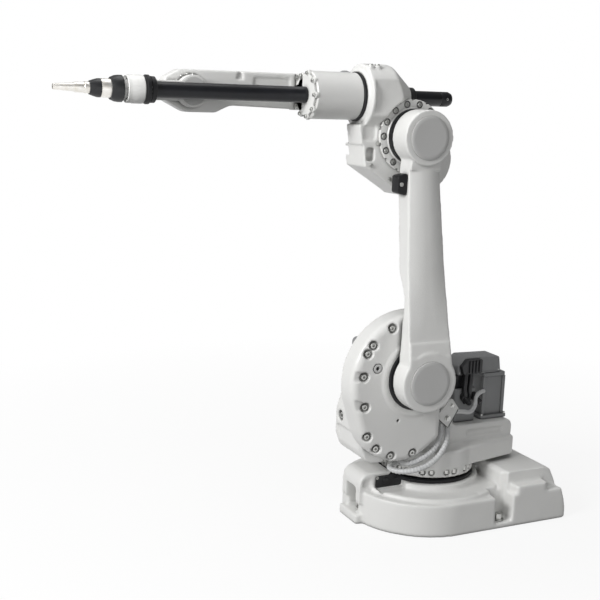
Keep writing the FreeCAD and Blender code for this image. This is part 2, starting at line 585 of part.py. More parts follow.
def make_upper_arm():
    housing = Piece("upper_arm_housing")
    x, near, far = s.shoulder_x, s.ring_near, -s.housing_far
    housing.turn("x", (0, roll_z), [
        (s.tube_rear, 0), (s.tube_rear, s.tube_neck_r), (s.tube_rear + 70, s.tube_r, 20),
        (s.tube_front - 6, s.tube_r, 4), (s.tube_front - 6, s.tube_r - 17),
        (s.tube_front, s.tube_r - 17), (s.tube_front, 0)])
    housing.pad("xz", far, near, ("circle", x, elbow_z, s.ring_r - 3))
    housing.pad("xz", far, near, ("outline", [
        (x + 146, elbow_z - 88), (x + 154, elbow_z - s.fin_low), (x + 128, elbow_z - 20),
        (x + 128, roll_z), (x + 40, roll_z), (x - 10, roll_z - 50),
        (x - 80, elbow_z + 50), (x - 96, elbow_z), (x - 60, elbow_z - 120, 30),
        (x + 8, elbow_z - 176, 8),
        (x + 30, elbow_z - 160)]))
    fin_top = roll_z - s.roll_seal_r - s.joint_gap
    housing.pad("xz", -s.fin_far, near, ("outline", [
        (x + 120, elbow_z - s.fin_low), (x + s.fin_reach - 10, elbow_z - s.fin_low),
        (x + s.fin_reach, fin_top), (x + 120, fin_top)]))
    housing.pocket("yz", 0, s.tube_rear, ("circle", 0, roll_z, s.hose_clamp_r + s.running_gap))
    # seat of the elbow gearbox, and a flat that keeps the tube clear of the lower arm
    housing.pocket("xz", near, s.tube_r + 10, ("circle", x, elbow_z, s.ring_r + s.running_gap))
    housing.pocket("xz", s.elbow_inner - s.moving_gap, s.tube_r + 10, rectangle(
        0, roll_z - s.tube_r - 10, s.tube_front + 10, roll_z + s.tube_r + 10))

    ring = Piece("elbow_gearbox")
    ring.turn("y", (x, elbow_z), [
        (near, 0), (near, s.ring_r), (near + s.ring_thick, s.ring_r),
        (near + s.ring_thick, s.elbow_output_r + 14),
        (near + s.ring_thick + 12, s.elbow_output_r + 8),
        (near + s.ring_thick + 12, s.elbow_output_r),
        (s.elbow_inner - s.moving_gap, s.elbow_output_r),
        (s.elbow_inner - s.moving_gap, s.elbow_output_r - 14),
        (s.elbow_inner - s.running_gap, s.elbow_output_r - 14),
        (s.elbow_inner - s.running_gap, 0)])

    gear = Piece("axis_3_gear_case")
    gear.pad("xz", far - s.motor_3_depth, far, (
        "capsule", (x, elbow_z, s.motor_3_r - 10), (s.motor_3_x, s.motor_3_z, s.motor_3_r)))
    gear.pocket("yz", s.tube_rear, s.tube_front,
                ("circle", 0, roll_z, s.tube_r + s.running_gap))
    motor = Piece("axis_3_motor")
    near_face = far - s.motor_3_depth
    gear.soften(16, flat_at("Y", near_face))
    motor.turn("y", (s.motor_3_x, s.motor_3_z), [
        (near_face, 0), (near_face - s.motor_3_length, 0),
        (near_face - s.motor_3_length, s.motor_3_body_r, 10), (near_face, s.motor_3_body_r)])
    # the fourth motor lies against the far side of the tube, above the gear case
    reach = s.tube_r + s.motor_4_r + s.running_gap
    motor_4_y = root(reach * reach - s.motor_4_rise * s.motor_4_rise)
    motor = Piece("axis_4_motor")
    motor.turn("x", (-motor_4_y, roll_z + s.motor_4_rise), [
        (s.tube_front - 20, 0), (s.tube_front - 20, s.motor_4_r, 6),
        (s.tube_front - 20 - s.motor_4_length, s.motor_4_r, 12),
        (s.tube_front - 20 - s.motor_4_length, 0)])

    clamp = Piece("hose_clamp")
    clamp.turn("x", (0, roll_z), [
        (s.tube_rear, 0), (s.tube_rear, s.hose_clamp_r),
        (s.tube_rear - s.hose_clamp_length, s.hose_clamp_r, 4),
        (s.tube_rear - s.hose_clamp_length, 0)])
    hose = Piece("rear_hose")
    start = s.tube_rear - s.hose_clamp_length
    hose.turn("x", (0, roll_z), [
        (start, 0), (start, s.hose_r), (s.tube_rear - s.hose_length, s.hose_r, 14),
        (s.tube_rear - s.hose_length, 0)])


def make_forearm():
    start = s.tube_front + s.running_gap
    seal = Piece("roll_seal")
    seal.turn("x", (0, roll_z), [
        (start, 0), (start, s.roll_seal_r), (start + s.roll_seal_thick, s.roll_seal_r),
        (start + s.roll_seal_thick, 0)])
    drum = Piece("roll_drum")
    drum.turn("x", (0, roll_z), [
        (start + s.roll_seal_thick, 0), (start + s.roll_seal_thick, s.drum_r, 2),
        (s.drum_front, s.drum_r), (s.drum_front, 0)])
    flange = Piece("drum_flange")
    flange_end = s.drum_front + s.drum_flange_thick
    flange.pad("yz", s.drum_front, flange_end, ("circle", 0, roll_z, s.drum_flange_r))
    flange.pad("yz", s.drum_front, flange_end, rectangle(
        -s.beam_far, roll_z - s.beam_low, 0, roll_z + s.beam_high, 8))

    beam = Piece("forearm_beam")
    beam.pad("xz", -s.beam_far, -s.beam_near, ("outline", [
        (flange_end, roll_z - s.beam_low + 2), (wrist_x - 120, roll_z - s.beam_low + 8, 60),
        (wrist_x - 76, roll_z - s.beam_hub_r, 30), (wrist_x + 10, roll_z - s.beam_hub_r, 40),
        (wrist_x + 72, roll_z - 26, 12), (wrist_x + 72, roll_z + 36, 12),
        (wrist_x + 30, roll_z + s.beam_high, 30), (flange_end, roll_z + s.beam_high)]))
    cover = Piece("beam_cover")
    cover.pad("xz", -s.beam_far - s.cover_thick, -s.beam_far, rectangle(
        flange_end + 30, roll_z - s.beam_low + 18, wrist_x - 90, roll_z + s.beam_high - 12, 14))
    cap = Piece("tilt_gearbox_cover")
    cap.pad("xz", -s.beam_far - s.cover_thick, -s.beam_far,
            ("circle", wrist_x, roll_z, s.beam_hub_r - 10))
    bearing = Piece("tilt_bearing")
    bearing.pad("xz", -s.beam_near, -s.beam_near + s.moving_gap,
                ("circle", wrist_x, roll_z, s.bracket_r - 12))

    conduit = Piece("front_conduit")
    conduit.pad("yz", flange_end, wrist_x - s.flex_back,
                ("circle", 0, roll_z, s.main_conduit_r))
    flex = Piece("flexible_conduit")
    flex.pad("yz", wrist_x - s.flex_back, wrist_x + s.collar_back,
             ("circle", 0, roll_z, s.main_conduit_r))


def make_wrist():
    bracket = Piece("tilt_bracket")
    far = -s.beam_near + s.moving_gap + s.running_gap
    bracket.pad("xz", far, -s.bracket_near, ("circle", wrist_x, roll_z, s.bracket_r))
    bracket.pad("xz", far, -s.bracket_near, rectangle(
        wrist_x, roll_z - s.bracket_half, wrist_x + s.collar_back, roll_z + s.bracket_half))
    bracket.pad("yz", wrist_x + s.collar_back - s.bracket_ring, wrist_x + s.collar_back,
                ("circle", 0, roll_z, s.bracket_half + 7))
    bracket.pocket("yz", wrist_x, wrist_x + s.collar_back + 10,
                   ("circle", 0, roll_z, s.main_conduit_r + s.running_gap))
    cover = Piece("tilt_hub_cover")
    cover.pad("xz", -s.bracket_near, -s.bracket_near + s.hub_cover_thick,
              ("circle", wrist_x, roll_z, s.hub_cover_r))
    collar = Piece("wrist_collar")
    collar.turn("x", (0, roll_z), [
        (wrist_x + s.collar_back, 0), (wrist_x + s.collar_back, s.collar_r, 2),
        (collar_face, s.collar_r, 2), (collar_face, 0)])


def make_tool():
    def turned(label, *corners):
        piece = Piece(label)
        piece.turn("x", (0, roll_z), corners)

    disc, ring = flange_face, flange_face + s.ring_tool_length
    torch = ring + s.torch_length
    collar = torch + s.torch_collar_length
    cone = collar + s.cone_length
    neck = cone + s.neck_length
    tip = neck + s.nozzle_length
    turned("turning_disc", (disc_back, 0), (disc_back, s.disc_r, 2), (disc, s.disc_r, 2),
           (disc, 0))
    turned("torch_spacer", (disc, 0), (disc, s.ring_tool_r), (ring, s.ring_tool_r), (ring, 0))
    turned("torch_body", (ring, 0), (ring, s.torch_r, 3), (torch, s.torch_r, 3), (torch, 0))
    turned("torch_collar", (torch, 0), (torch, s.torch_collar_r), (collar, s.torch_collar_r),
           (collar, 0))
    turned("torch_cone", (collar, 0), (collar, s.torch_collar_r), (cone, s.cone_end_r), (cone, 0))
    turned("torch_neck", (cone, 0), (cone, s.neck_r), (neck, s.neck_r), (neck, 0))
    turned("gas_nozzle", (neck, 0), (neck, s.nozzle_r), (neck + 26, s.nozzle_r, 4),
           (tip, s.nozzle_tip_r), (tip, s.nozzle_bore_r), (tip - 40, s.nozzle_bore_r),
           (tip - 40, 0))


make_base()
make_turret()
make_cables()
make_lower_arm()
make_upper_arm()
make_forearm()
make_wrist()
make_tool()
doc.recompute()

for item in doc.Objects:
    if {"Invalid", "Error"} & set(item.State):
        raise RuntimeError(f"{item.Name} failed: {item.State}")
pieces = [o for o in doc.Objects if o.TypeId in ("PartDesign::Body", "Part::Feature")]
for piece in pieces:
    if piece.Shape.isNull() or not piece.Shape.isValid() or not piece.Shape.Solids:
        raise RuntimeError(f"{piece.Label} has no valid shape")
for piece in pieces:
    piece.Shape.exportStep(f"parts/{piece.Label}.step")
print(f"{len(pieces)} pieces written")
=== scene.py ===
import json
import math

import bmesh
import bpy
from mathutils import Matrix, Vector

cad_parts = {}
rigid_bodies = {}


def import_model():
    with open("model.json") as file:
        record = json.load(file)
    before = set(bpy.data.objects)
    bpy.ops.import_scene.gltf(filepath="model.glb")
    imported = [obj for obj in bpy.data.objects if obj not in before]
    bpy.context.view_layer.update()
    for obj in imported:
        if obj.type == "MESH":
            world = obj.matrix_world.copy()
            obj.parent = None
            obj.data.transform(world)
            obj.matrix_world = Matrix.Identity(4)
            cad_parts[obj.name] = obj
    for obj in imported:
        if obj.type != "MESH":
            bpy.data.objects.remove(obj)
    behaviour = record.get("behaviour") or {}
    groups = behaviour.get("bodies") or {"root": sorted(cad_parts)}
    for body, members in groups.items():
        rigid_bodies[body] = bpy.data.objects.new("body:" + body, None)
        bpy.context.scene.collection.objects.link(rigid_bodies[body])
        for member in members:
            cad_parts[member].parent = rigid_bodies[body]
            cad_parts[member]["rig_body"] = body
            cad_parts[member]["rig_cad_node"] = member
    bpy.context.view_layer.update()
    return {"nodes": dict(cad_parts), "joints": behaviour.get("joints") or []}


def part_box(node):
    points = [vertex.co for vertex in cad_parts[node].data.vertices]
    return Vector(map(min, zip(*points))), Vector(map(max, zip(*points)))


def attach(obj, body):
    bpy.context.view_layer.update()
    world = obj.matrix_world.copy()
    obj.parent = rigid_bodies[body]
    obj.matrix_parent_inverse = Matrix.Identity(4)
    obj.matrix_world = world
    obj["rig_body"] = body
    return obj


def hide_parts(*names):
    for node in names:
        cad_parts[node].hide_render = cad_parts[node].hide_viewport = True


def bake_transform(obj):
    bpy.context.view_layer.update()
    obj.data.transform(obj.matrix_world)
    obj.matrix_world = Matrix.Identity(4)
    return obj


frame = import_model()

mm = 0.001
scene = bpy.context.scene
joints = {joint["name"]: joint for joint in frame["joints"]}
print("frame:", len(frame["nodes"]), "nodes")


# materials

def linear(hexText):
    channels = [int(hexText[i:i + 2], 16) / 255 for i in (0, 2, 4)]
    return (*[c / 12.92 if c <= 0.04045 else ((c + 0.055) / 1.055) ** 2.4 for c in channels], 1)


def addNode(tree, kind, settings=None, links=None):
    node = tree.nodes.new("ShaderNode" + kind)
    for key, value in (settings or {}).items():
        if isinstance(key, int) or key in node.inputs:
            node.inputs[key].default_value = value
        else:
            setattr(node, key, value)
    for key, source in (links or {}).items():
        tree.links.new(source, node.inputs[key])
    return node


def newMaterial(name, shader):
    material = bpy.data.materials.new(name)
    material.use_nodes = True
    tree = material.node_tree
    tree.nodes.clear()
    bsdf = addNode(tree, "BsdfPrincipled", shader)
    addNode(tree, "OutputMaterial", {}, {"Surface": bsdf.outputs[0]})
    place = addNode(tree, "TexCoord").outputs["Object"]
    return material, tree, bsdf, place


def mottle(tree, place, sizeMm, low, high, detail=3):
    # noise of a real size, brought to the range low..high
    noise = addNode(tree, "TexNoise", {"Scale": 1 / (sizeMm * mm), "Detail": detail}, {"Vector": place})
    return addNode(tree, "MapRange", {"From Min": 0.3, "From Max": 0.7, "To Min": low, "To Max": high},
                   {"Value": noise.outputs[0]}).outputs[0]


def twoTone(tree, factor, first, second):
    return addNode(tree, "Mix", {"data_type": "RGBA", 6: linear(first), 7: linear(second)},
                   {0: factor}).outputs[2]


def relief(tree, bsdf, height, depthMm):
    bump = addNode(tree, "Bump", {"Strength": 1.0, "Distance": depthMm * mm}, {"Height": height})
    tree.links.new(bump.outputs[0], bsdf.inputs["Normal"])


def enamel(name, look):
    # two-part enamel sprayed on cast iron: soft gloss over a faint orange peel and the sand's ripple, with
    # painted shade in its creases
    material, tree, bsdf, place = newMaterial(name, {
        "Roughness": look["rough"], "Coat Weight": look["coat"], "Coat Roughness": 0.25})
    dust = mottle(tree, place, look["dustMm"], 0.0, 0.5)
    paint = twoTone(tree, dust, look["paint"], look["dusty"])
    # painted shade: ambient occlusion darkens the paint toward the crease colour in creases and corners
    creases = addNode(tree, "AmbientOcclusion", {"samples": 6, "Distance": look["creaseShadeMm"] * mm})
    shade = addNode(tree, "MapRange", {"From Min": 0.25, "From Max": 0.85, "To Min": 0.0, "To Max": 1.0},
                    {"Value": creases.outputs["AO"]})
    creaseShaded = addNode(tree, "Mix", {"data_type": "RGBA", 6: linear(look["creaseShade"])},
                     {0: shade.outputs[0], 7: paint})
    tree.links.new(creaseShaded.outputs[2], bsdf.inputs["Base Color"])
    tree.links.new(mottle(tree, place, 60, look["rough"] - 0.05, look["rough"] + 0.07),
                   bsdf.inputs["Roughness"])
    peel = mottle(tree, place, look["peelMm"], 0.0, 1.0, 1)
    ripple = mottle(tree, place, look["rippleMm"], 0.0, look["rippleShare"], 2)
    both = addNode(tree, "Math", {"operation": "ADD"}, {0: peel, 1: ripple})
    relief(tree, bsdf, both.outputs[0], look["depthMm"])
    return material


def moulded(name, look):
    # injection-moulded nylon or ABS: even colour, fine spark-eroded grain, dull sheen
    material, tree, bsdf, place = newMaterial(name, {"Roughness": look["rough"], "IOR": 1.53})
    colour = twoTone(tree, mottle(tree, place, 45, 0.0, 1.0), look["colour"], look["faded"])
    tree.links.new(colour, bsdf.inputs["Base Color"])
    relief(tree, bsdf, mottle(tree, place, look["grainMm"], 0.0, 1.0, 2), look["depthMm"])
    return material


def rubber(name, look):
    # extruded or moulded rubber: near black with a broad bluish sheen, dusty in patches
    material, tree, bsdf, place = newMaterial(name, {
        "Roughness": look["rough"], "IOR": 1.52, "Specular IOR Level": 0.35,
        "Sheen Weight": 0.03, "Sheen Roughness": 0.4})
    colour = twoTone(tree, mottle(tree, place, 30, 0.0, 1.0), look["colour"], look["dusty"])
    tree.links.new(colour, bsdf.inputs["Base Color"])
    tree.links.new(mottle(tree, place, 80, look["rough"] - 0.05, look["rough"] + 0.08),
                   bsdf.inputs["Roughness"])
    relief(tree, bsdf, mottle(tree, place, 2.5, 0.0, 1.0, 2), 0.08)
    return material


def turnedMetal(name, look):
    # turned or plated metal: fine tool marks across the way it was turned
    material, tree, bsdf, place = newMaterial(name, {"Roughness": look["rough"], "Metallic": 1.0})
    colour = twoTone(tree, mottle(tree, place, 12, 0.0, 1.0), look["colour"], look["stain"])
    tree.links.new(colour, bsdf.inputs["Base Color"])
    tree.links.new(mottle(tree, place, 9, look["rough"] - 0.06, look["rough"] + 0.1),
                   bsdf.inputs["Roughness"])
    relief(tree, bsdf, mottle(tree, place, look["markMm"], 0.0, 1.0, 2), 0.05)
    return material


# each enamel's crease colour is painted shade, laid into its creases and corners
finishes = {
    # light grey enamel of the castings; peel is 1 mm in truth, drawn at 3 mm so that it shows
    "painted_grey": enamel("light_grey_enamel", {
        "paint": "E8E8E6", "dusty": "DEDEDB", "creaseShade": "6E6E6C", "rough": 0.4, "coat": 0.15,
        "dustMm": 180, "creaseShadeMm": 18, "peelMm": 3, "rippleMm": 38, "rippleShare": 3, "depthMm": 0.12}),
    # darker enamel of the motors, a little rougher
    "motor_grey": enamel("dark_grey_enamel", {
        "paint": "8E8F90", "dusty": "818283", "creaseShade": "2E2F30", "rough": 0.5, "coat": 0.0,
        "dustMm": 90, "creaseShadeMm": 12, "peelMm": 2.5, "rippleMm": 22, "rippleShare": 2, "depthMm": 0.15}),
    # pressed covers sprayed in a flatter grey
    "cap_grey": enamel("flat_grey_enamel", {
        "paint": "C6C6C5", "dusty": "BFBFBD", "creaseShade": "8A8A88", "rough": 0.52, "coat": 0.0,
        "dustMm": 120, "creaseShadeMm": 5, "peelMm": 2.5, "rippleMm": 60, "rippleShare": 1, "depthMm": 0.05}),
    # ground and zinc-plated steel of the rings and screws
    "machined_steel": turnedMetal("zinc_plated_steel", {
        "colour": "C9C9C6", "stain": "A9AAA8", "rough": 0.32, "markMm": 1.5}),
    "seal_rubber": rubber("nitrile_rubber", {"colour": "0B0C0F", "dusty": "121316", "rough": 0.5}),
    "connector_black": moulded("black_nylon", {
        "colour": "101114", "faded": "18191C", "rough": 0.42, "grainMm": 2, "depthMm": 0.08}),
    "conduit_black": rubber("hose_rubber", {"colour": "0B0C11", "dusty": "111319", "rough": 0.36}),
    "conduit_silver": moulded("grey_pvc_jacket", {
        "colour": "D6D7D7", "faded": "C6C7C8", "rough": 0.25, "grainMm": 6, "depthMm": 0.05}),
    # nickel-plated copper, dull from heat
    "nozzle_steel": turnedMetal("nickel_plate", {
        "colour": "F2F0EC", "stain": "E2DED6", "rough": 0.38, "markMm": 1.2}),
}

slotOf = {}
for node in frame["nodes"].values():
    slotOf[node.name] = node.material_slots[0].material.name.split(".")[0]
    node.material_slots[0].material = finishes[slotOf[node.name]]
print("finishes:", len(finishes), "on", sorted(set(slotOf.values())))


# shapes: lists of points in mm and faces, joined and turned into meshes in metres

def spot(axis, along, a, b):
    return {"x": (along, a, b), "y": (a, along, b), "z": (a, b, along)}[axis]


def circle(axis, centre, along, radius, count, sides=0):
    # sides draws the ring's points on a polygon with that many flats instead
    points = []
    for i in range(count):
        angle = 2 * math.pi * i / count
        reach = radius
        if sides:
            half = math.pi / sides
            reach = radius * math.cos(half) / math.cos((angle + half) % (2 * half) - half)
        points.append(spot(axis, along, centre[0] + reach * math.cos(angle),
                           centre[1] + reach * math.sin(angle)))
    return points


def loft(rows, closed=False):
    count = len(rows[0])
    points = [p for row in rows for p in row]
    faces = []
    for i in range(len(rows) if closed else len(rows) - 1):
        a, b = i * count, (i + 1) % len(rows) * count
        faces += [(a + k, a + (k + 1) % count, b + (k + 1) % count, b + k) for k in range(count)]
    if not closed:
        faces += [tuple(range(count)), tuple(range(len(points) - count, len(points)))]
    return points, faces


def turned(axis, centre, profile, count=64, ring=False):
    # profile of (along, radius); a ring's profile closes on itself
    return loft([circle(axis, centre, along, max(radius, 0.05), count) for along, radius in profile],
                ring)


def rod(axis, centre, low, high, radius, count):
    return turned(axis, centre, [(low, 0), (low, radius), (high, radius), (high, 0)], count)


def prism(axis, low, high, outline):
    return loft([[spot(axis, along, *corner) for corner in outline] for along in (low, high)])


def block(low, high):
    return prism("z", low[2], high[2], [(low[0], low[1]), (high[0], low[1]),
                                        (high[0], high[1]), (low[0], high[1])])


def rounded(corners, radius, steps=6):
    # the outline with every corner turned to an arc
    points, count = [], len(corners)
    for i, corner in enumerate(corners):
        here = Vector(corner)
        back = Vector(corners[i - 1]) - here
        ahead = Vector(corners[(i + 1) % count]) - here
        half = back.angle(ahead) / 2
        reach = min(radius / math.tan(half), 0.49 * back.length, 0.49 * ahead.length)
        bend = reach * math.tan(half)
        back.normalize()
        ahead.normalize()
        centre = here + (back + ahead).normalized() * (bend / math.sin(half))
        first, last = here + back * reach - centre, here + ahead * reach - centre
        sweep = first.angle_signed(last) if first.length > 0 else 0
        for k in range(steps + 1):
            angle = math.atan2(first.y, first.x) - sweep * k / steps
            points.append((centre.x + bend * math.cos(angle), centre.y + bend * math.sin(angle)))
    return points


def rectangle(low, high, radius, steps=6):
    return rounded([low, (high[0], low[1]), high, (low[0], high[1])], radius, steps)


def mirrored(side, near, far):
    # a span of y on the near side (1) or the far side (-1)
    return sorted((side * near, side * far))


def joined(shapes):
    points, faces = [], []
    for more, sides in shapes:
        faces += [tuple(k + len(points) for k in face) for face in sides]
        points += more
    return points, faces


def toObject(name, shapes):
    points, faces = joined(shapes)
    mesh = bpy.data.meshes.new(name)
    mesh.from_pydata([Vector(p) * mm for p in points], [], faces)
    form = bmesh.new()
    form.from_mesh(mesh)
    bmesh.ops.recalc_face_normals(form, faces=form.faces)
    form.to_mesh(mesh)
    form.free()
    thing = bpy.data.objects.new(name, mesh)
    scene.collection.objects.link(thing)
    return thing


def applied(thing):
    graph = bpy.context.evaluated_depsgraph_get()
    mesh = bpy.data.meshes.new_from_object(thing.evaluated_get(graph))
    thing.modifiers.clear()
    thing.data = mesh


def carved(thing, shapes):
    if not shapes:
        return thing
    tool = toObject("tool", shapes)
    cut = thing.modifiers.new("cut", "BOOLEAN")
    cut.operation, cut.solver, cut.object, cut.use_self = "DIFFERENCE", "EXACT", tool, True
    applied(thing)
    bpy.data.objects.remove(tool)
    return thing


def smoothed(thing, degrees):
    thing.data.shade_smooth()
    thing.data.set_sharp_from_angle(angle=math.radians(degrees))


def piece(name, body, slot, shapes, nodes=(), bevelMm=0.0, degrees=40, cuts=()):
    # a made piece: shapes, cuts, an even small edge radius, its finish and what it stands for
    thing = carved(toObject(name, shapes), list(cuts))
    if bevelMm:
        edge = thing.modifiers.new("edge", "BEVEL")
        edge.width, edge.segments, edge.limit_method = bevelMm * mm, 3, "ANGLE"
        edge.angle_limit, edge.use_clamp_overlap = math.radians(35), True
        applied(thing)
    smoothed(thing, degrees)
    finished(thing, body, slot, nodes)


def finished(thing, body, slot, nodes=()):
    thing.data.materials.clear()
    thing.data.materials.append(finishes[slot])
    if body:
        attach(thing, body)
    if nodes:
        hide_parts(*nodes)


def casting(name, body, node, size, adds=(), cuts=()):
    # the node's own form with extra bosses and recesses, its edges rounded as a foundry leaves them
    thing = frame["nodes"][node].copy()
    thing.data = thing.data.copy()
    thing.parent = None
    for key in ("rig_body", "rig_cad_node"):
        if key in thing:
            del thing[key]
    thing.name = name
    thing.hide_render = thing.hide_viewport = False
    scene.collection.objects.link(thing)
    form = bmesh.new()
    form.from_mesh(thing.data)
    bmesh.ops.remove_doubles(form, verts=form.verts, dist=0.002 * mm)
    if adds:
        extra = toObject("extra", list(adds))
        form.from_mesh(extra.data)
        bpy.data.objects.remove(extra)
    form.to_mesh(thing.data)
    form.free()
    carved(thing, list(cuts))
    grid = thing.modifiers.new("grid", "REMESH")
    grid.mode, grid.voxel_size = "VOXEL", size["grain"] * mm
    soft = thing.modifiers.new("soft", "SMOOTH")
    soft.factor, soft.iterations = 0.5, size["rounds"]
    applied(thing)
    thing.data.shade_smooth()
    print(name, len(thing.data.polygons), "faces")
    finished(thing, body, "painted_grey", [node])


def aimed(shape, place, toward):
    # a shape drawn along +Z from the origin, moved to a place and turned toward a direction
    turn = Vector((0, 0, 1)).rotation_difference(Vector(toward)).to_matrix()
    return [tuple(turn @ Vector(p) + Vector(place)) for p in shape[0]], shape[1]


def socketScrew(place, toward, radius, height):
    # socket-head cap screw with a hexagon socket and a small top chamfer
    rows = [(0, radius, 0), (height - 0.12 * radius, radius, 0), (height, 0.88 * radius, 0),
            (height, 0.56 * radius, 6), (0.45 * height, 0.56 * radius, 6)]
    shape = loft([circle("z", (0, 0), along, reach, 24, sides) for along, reach, sides in rows])
    return aimed(shape, place, toward)


def hexScrew(place, toward, radius, height):
    # hexagon-head screw on its washer
    washer = turned("z", (0, 0), [(0, 0), (0, 1.3 * radius), (0.2 * height, 1.3 * radius),
                                  (0.2 * height, 0)], 24)
    rows = [(0.2 * height, 1, 6), (0.88 * height, 1, 6), (height, 0.86, 0), (height, 0.05, 0)]
    head = loft([circle("z", (0, 0), along, reach * radius, 24, sides) for along, reach, sides in rows])
    return aimed(joined([washer, head]), place, toward)


def screwSet(name, body, screws):
    piece(name, body, "machined_steel", screws, degrees=35)


def around(centre, radius, degrees):
    return [(centre[0] + radius * math.cos(math.radians(a)), centre[1] + radius * math.sin(math.radians(a)))
            for a in degrees]


def nurbsLine(points):
    # points read from a smooth spline through the route
    curve = bpy.data.curves.new("route", "CURVE")
    curve.dimensions = "3D"
    spline = curve.splines.new("NURBS")
    spline.points.add(len(points) - 1)
    for knot, place in zip(spline.points, points):
        knot.co = (*[c * mm for c in place], 1)
    spline.order_u, spline.use_endpoint_u, spline.resolution_u = 3, True, 10
    thing = bpy.data.objects.new("route", curve)
    mesh = bpy.data.meshes.new_from_object(thing)
    line = [v.co / mm for v in mesh.vertices]
    bpy.data.objects.remove(thing)
    bpy.data.meshes.remove(mesh)
    return line


def hose(line, radius, count=20, swell=None):
    # a round tube along a line of points, whose radius may swell along the way
    rows, side, walked = [], None, 0.0
    for i, here in enumerate(line):
        ahead = (line[min(i + 1, len(line) - 1)] - line[max(i - 1, 0)]).normalized()
        if side is None:
            side = ahead.orthogonal().normalized()
        side = (side - ahead * side.dot(ahead)).normalized()
        other = ahead.cross(side)
        walked += (here - line[max(i - 1, 0)]).length
        reach = radius + (swell(walked) if swell else 0)
        rows.append([tuple(here + side * reach * math.cos(a) + other * reach * math.sin(a))
                     for a in (2 * math.pi * k / count for k in range(count))])
    return loft(rows)


def evenly(line, step):
    # the same line with points at even steps
    places, left = [line[0]], step
    for start, end in zip(line, line[1:]):
        span = (end - start).length
        at = left
        while at <= span:
            places.append(start + (end - start) * (at / span))
            at += step
        left = at - span
    return places


# the arm's own places, in mm

shoulderX, _, shoulderZ = [v / mm for v in joints["axis_2"]["pos_m"]]
elbowX, _, elbowZ = [v / mm for v in joints["axis_3"]["pos_m"]]
rollZ = joints["axis_4"]["pos_m"][2] / mm
wristX = joints["axis_5"]["pos_m"][0] / mm
shoulder, elbow = (shoulderX, shoulderZ), (elbowX, elbowZ)
rollAxis = (0, rollZ)


def ends(node):
    low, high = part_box(node)
    return [v / mm for v in low], [v / mm for v in high]


# base

def makeBase():
    size = {"grain": 4.0, "rounds": 9, "windowLow": 105, "windowHigh": 149, "windowBack": 114,
            "windowFront": 213, "windowFace": 48, "plateIn": 2, "plateOut": 3, "blankR": 11,
            "tapped": ((207, 82), (207, -82), (-60, 214), (-60, -214)), "tappedR": 5,
            "bolts": ((225, 0, 30), (-142.5, 212, 18), (-142.5, -212, 18)), "boltR": 13,
            "entryY": (-70, 0, 70), "entryZ": 74}
    cuts, screws, plates = [], [], []
    for side in (-1, 1):
        # hollow under the nose's hood, closed by a cable plate on each side, coloured near-black as painted
        # shade in the hollow
        near, far = mirrored(side, size["windowFace"], 100)
        cuts.append(block((size["windowBack"], near, size["windowLow"]),
                          (size["windowFront"], far, size["windowHigh"])))
        outer = size["windowFace"] + size["plateOut"]
        near, far = mirrored(side, size["windowFace"] - size["plateIn"], outer)
        plates.append(prism("y", near, far, rectangle(
            (size["windowBack"] + 1, size["windowLow"] + 1),
            (size["windowFront"] - 3, size["windowHigh"] - 1), 6)))
        plates.append(rod("y", (172, 128), near - 3, far + 3, size["blankR"], 32))
        for x in (136, 204):
            screws.append(hexScrew((x, side * outer, 140), (0, side, 0), 4, 3))
        # shallow panel in the hood's own side
        near, far = mirrored(side, 51, 70)
        cuts.append(prism("y", near, far, rectangle((226, 112), (256, 142), 8)))
        # slots that leave a rib each side of the nose pocket
        near, far = mirrored(side, 38, 47)
        cuts.append(prism("x", 256, 300, rectangle((near, 36), (far, 126), 4)))
    # threaded holes of the top plate
    cuts += [rod("z", place, 96, 130, size["tappedR"], 20) for place in size["tapped"]]
    casting("base_body", "base", "base_casting", size, cuts=cuts)
    # floor bolts stand in the foot pockets
    screws += [hexScrew(place, (0, 0, 1), size["boltR"], 20) for place in size["bolts"]]
    screwSet("base_screws", "base", screws)
    # the plates are near-black to paint the shade that falls in the hollow under the hood
    piece("nose_cable_shade_plates", "base", "connector_black", plates, bevelMm=1)
    entries = [turned("x", (y, size["entryZ"]), [(-386, 0), (-386, 24), (-380, 26), (-372, 26), (-372, 0)],
                      40) for y in size["entryY"]]
    piece("rear_cable_entries", "base", "connector_black", entries, degrees=35)


def makeTurntable():
    size = {"radius": 150, "low": 134, "high": 146, "chamfer": 3, "neckR": 97, "neckTop": 151.5}
    ring = turned("z", (0, 0), [
        (size["low"], 0), (size["low"], size["radius"]), (size["high"] - size["chamfer"], size["radius"]),
        (size["high"], size["radius"] - size["chamfer"]), (size["high"], size["neckR"] + size["chamfer"]),
        (size["neckTop"], size["neckR"]), (size["neckTop"], 0)], 96)
    piece("turntable_bearing", "base", "seal_rubber", [ring], ["axis_1_gearbox"], degrees=30)


# turret

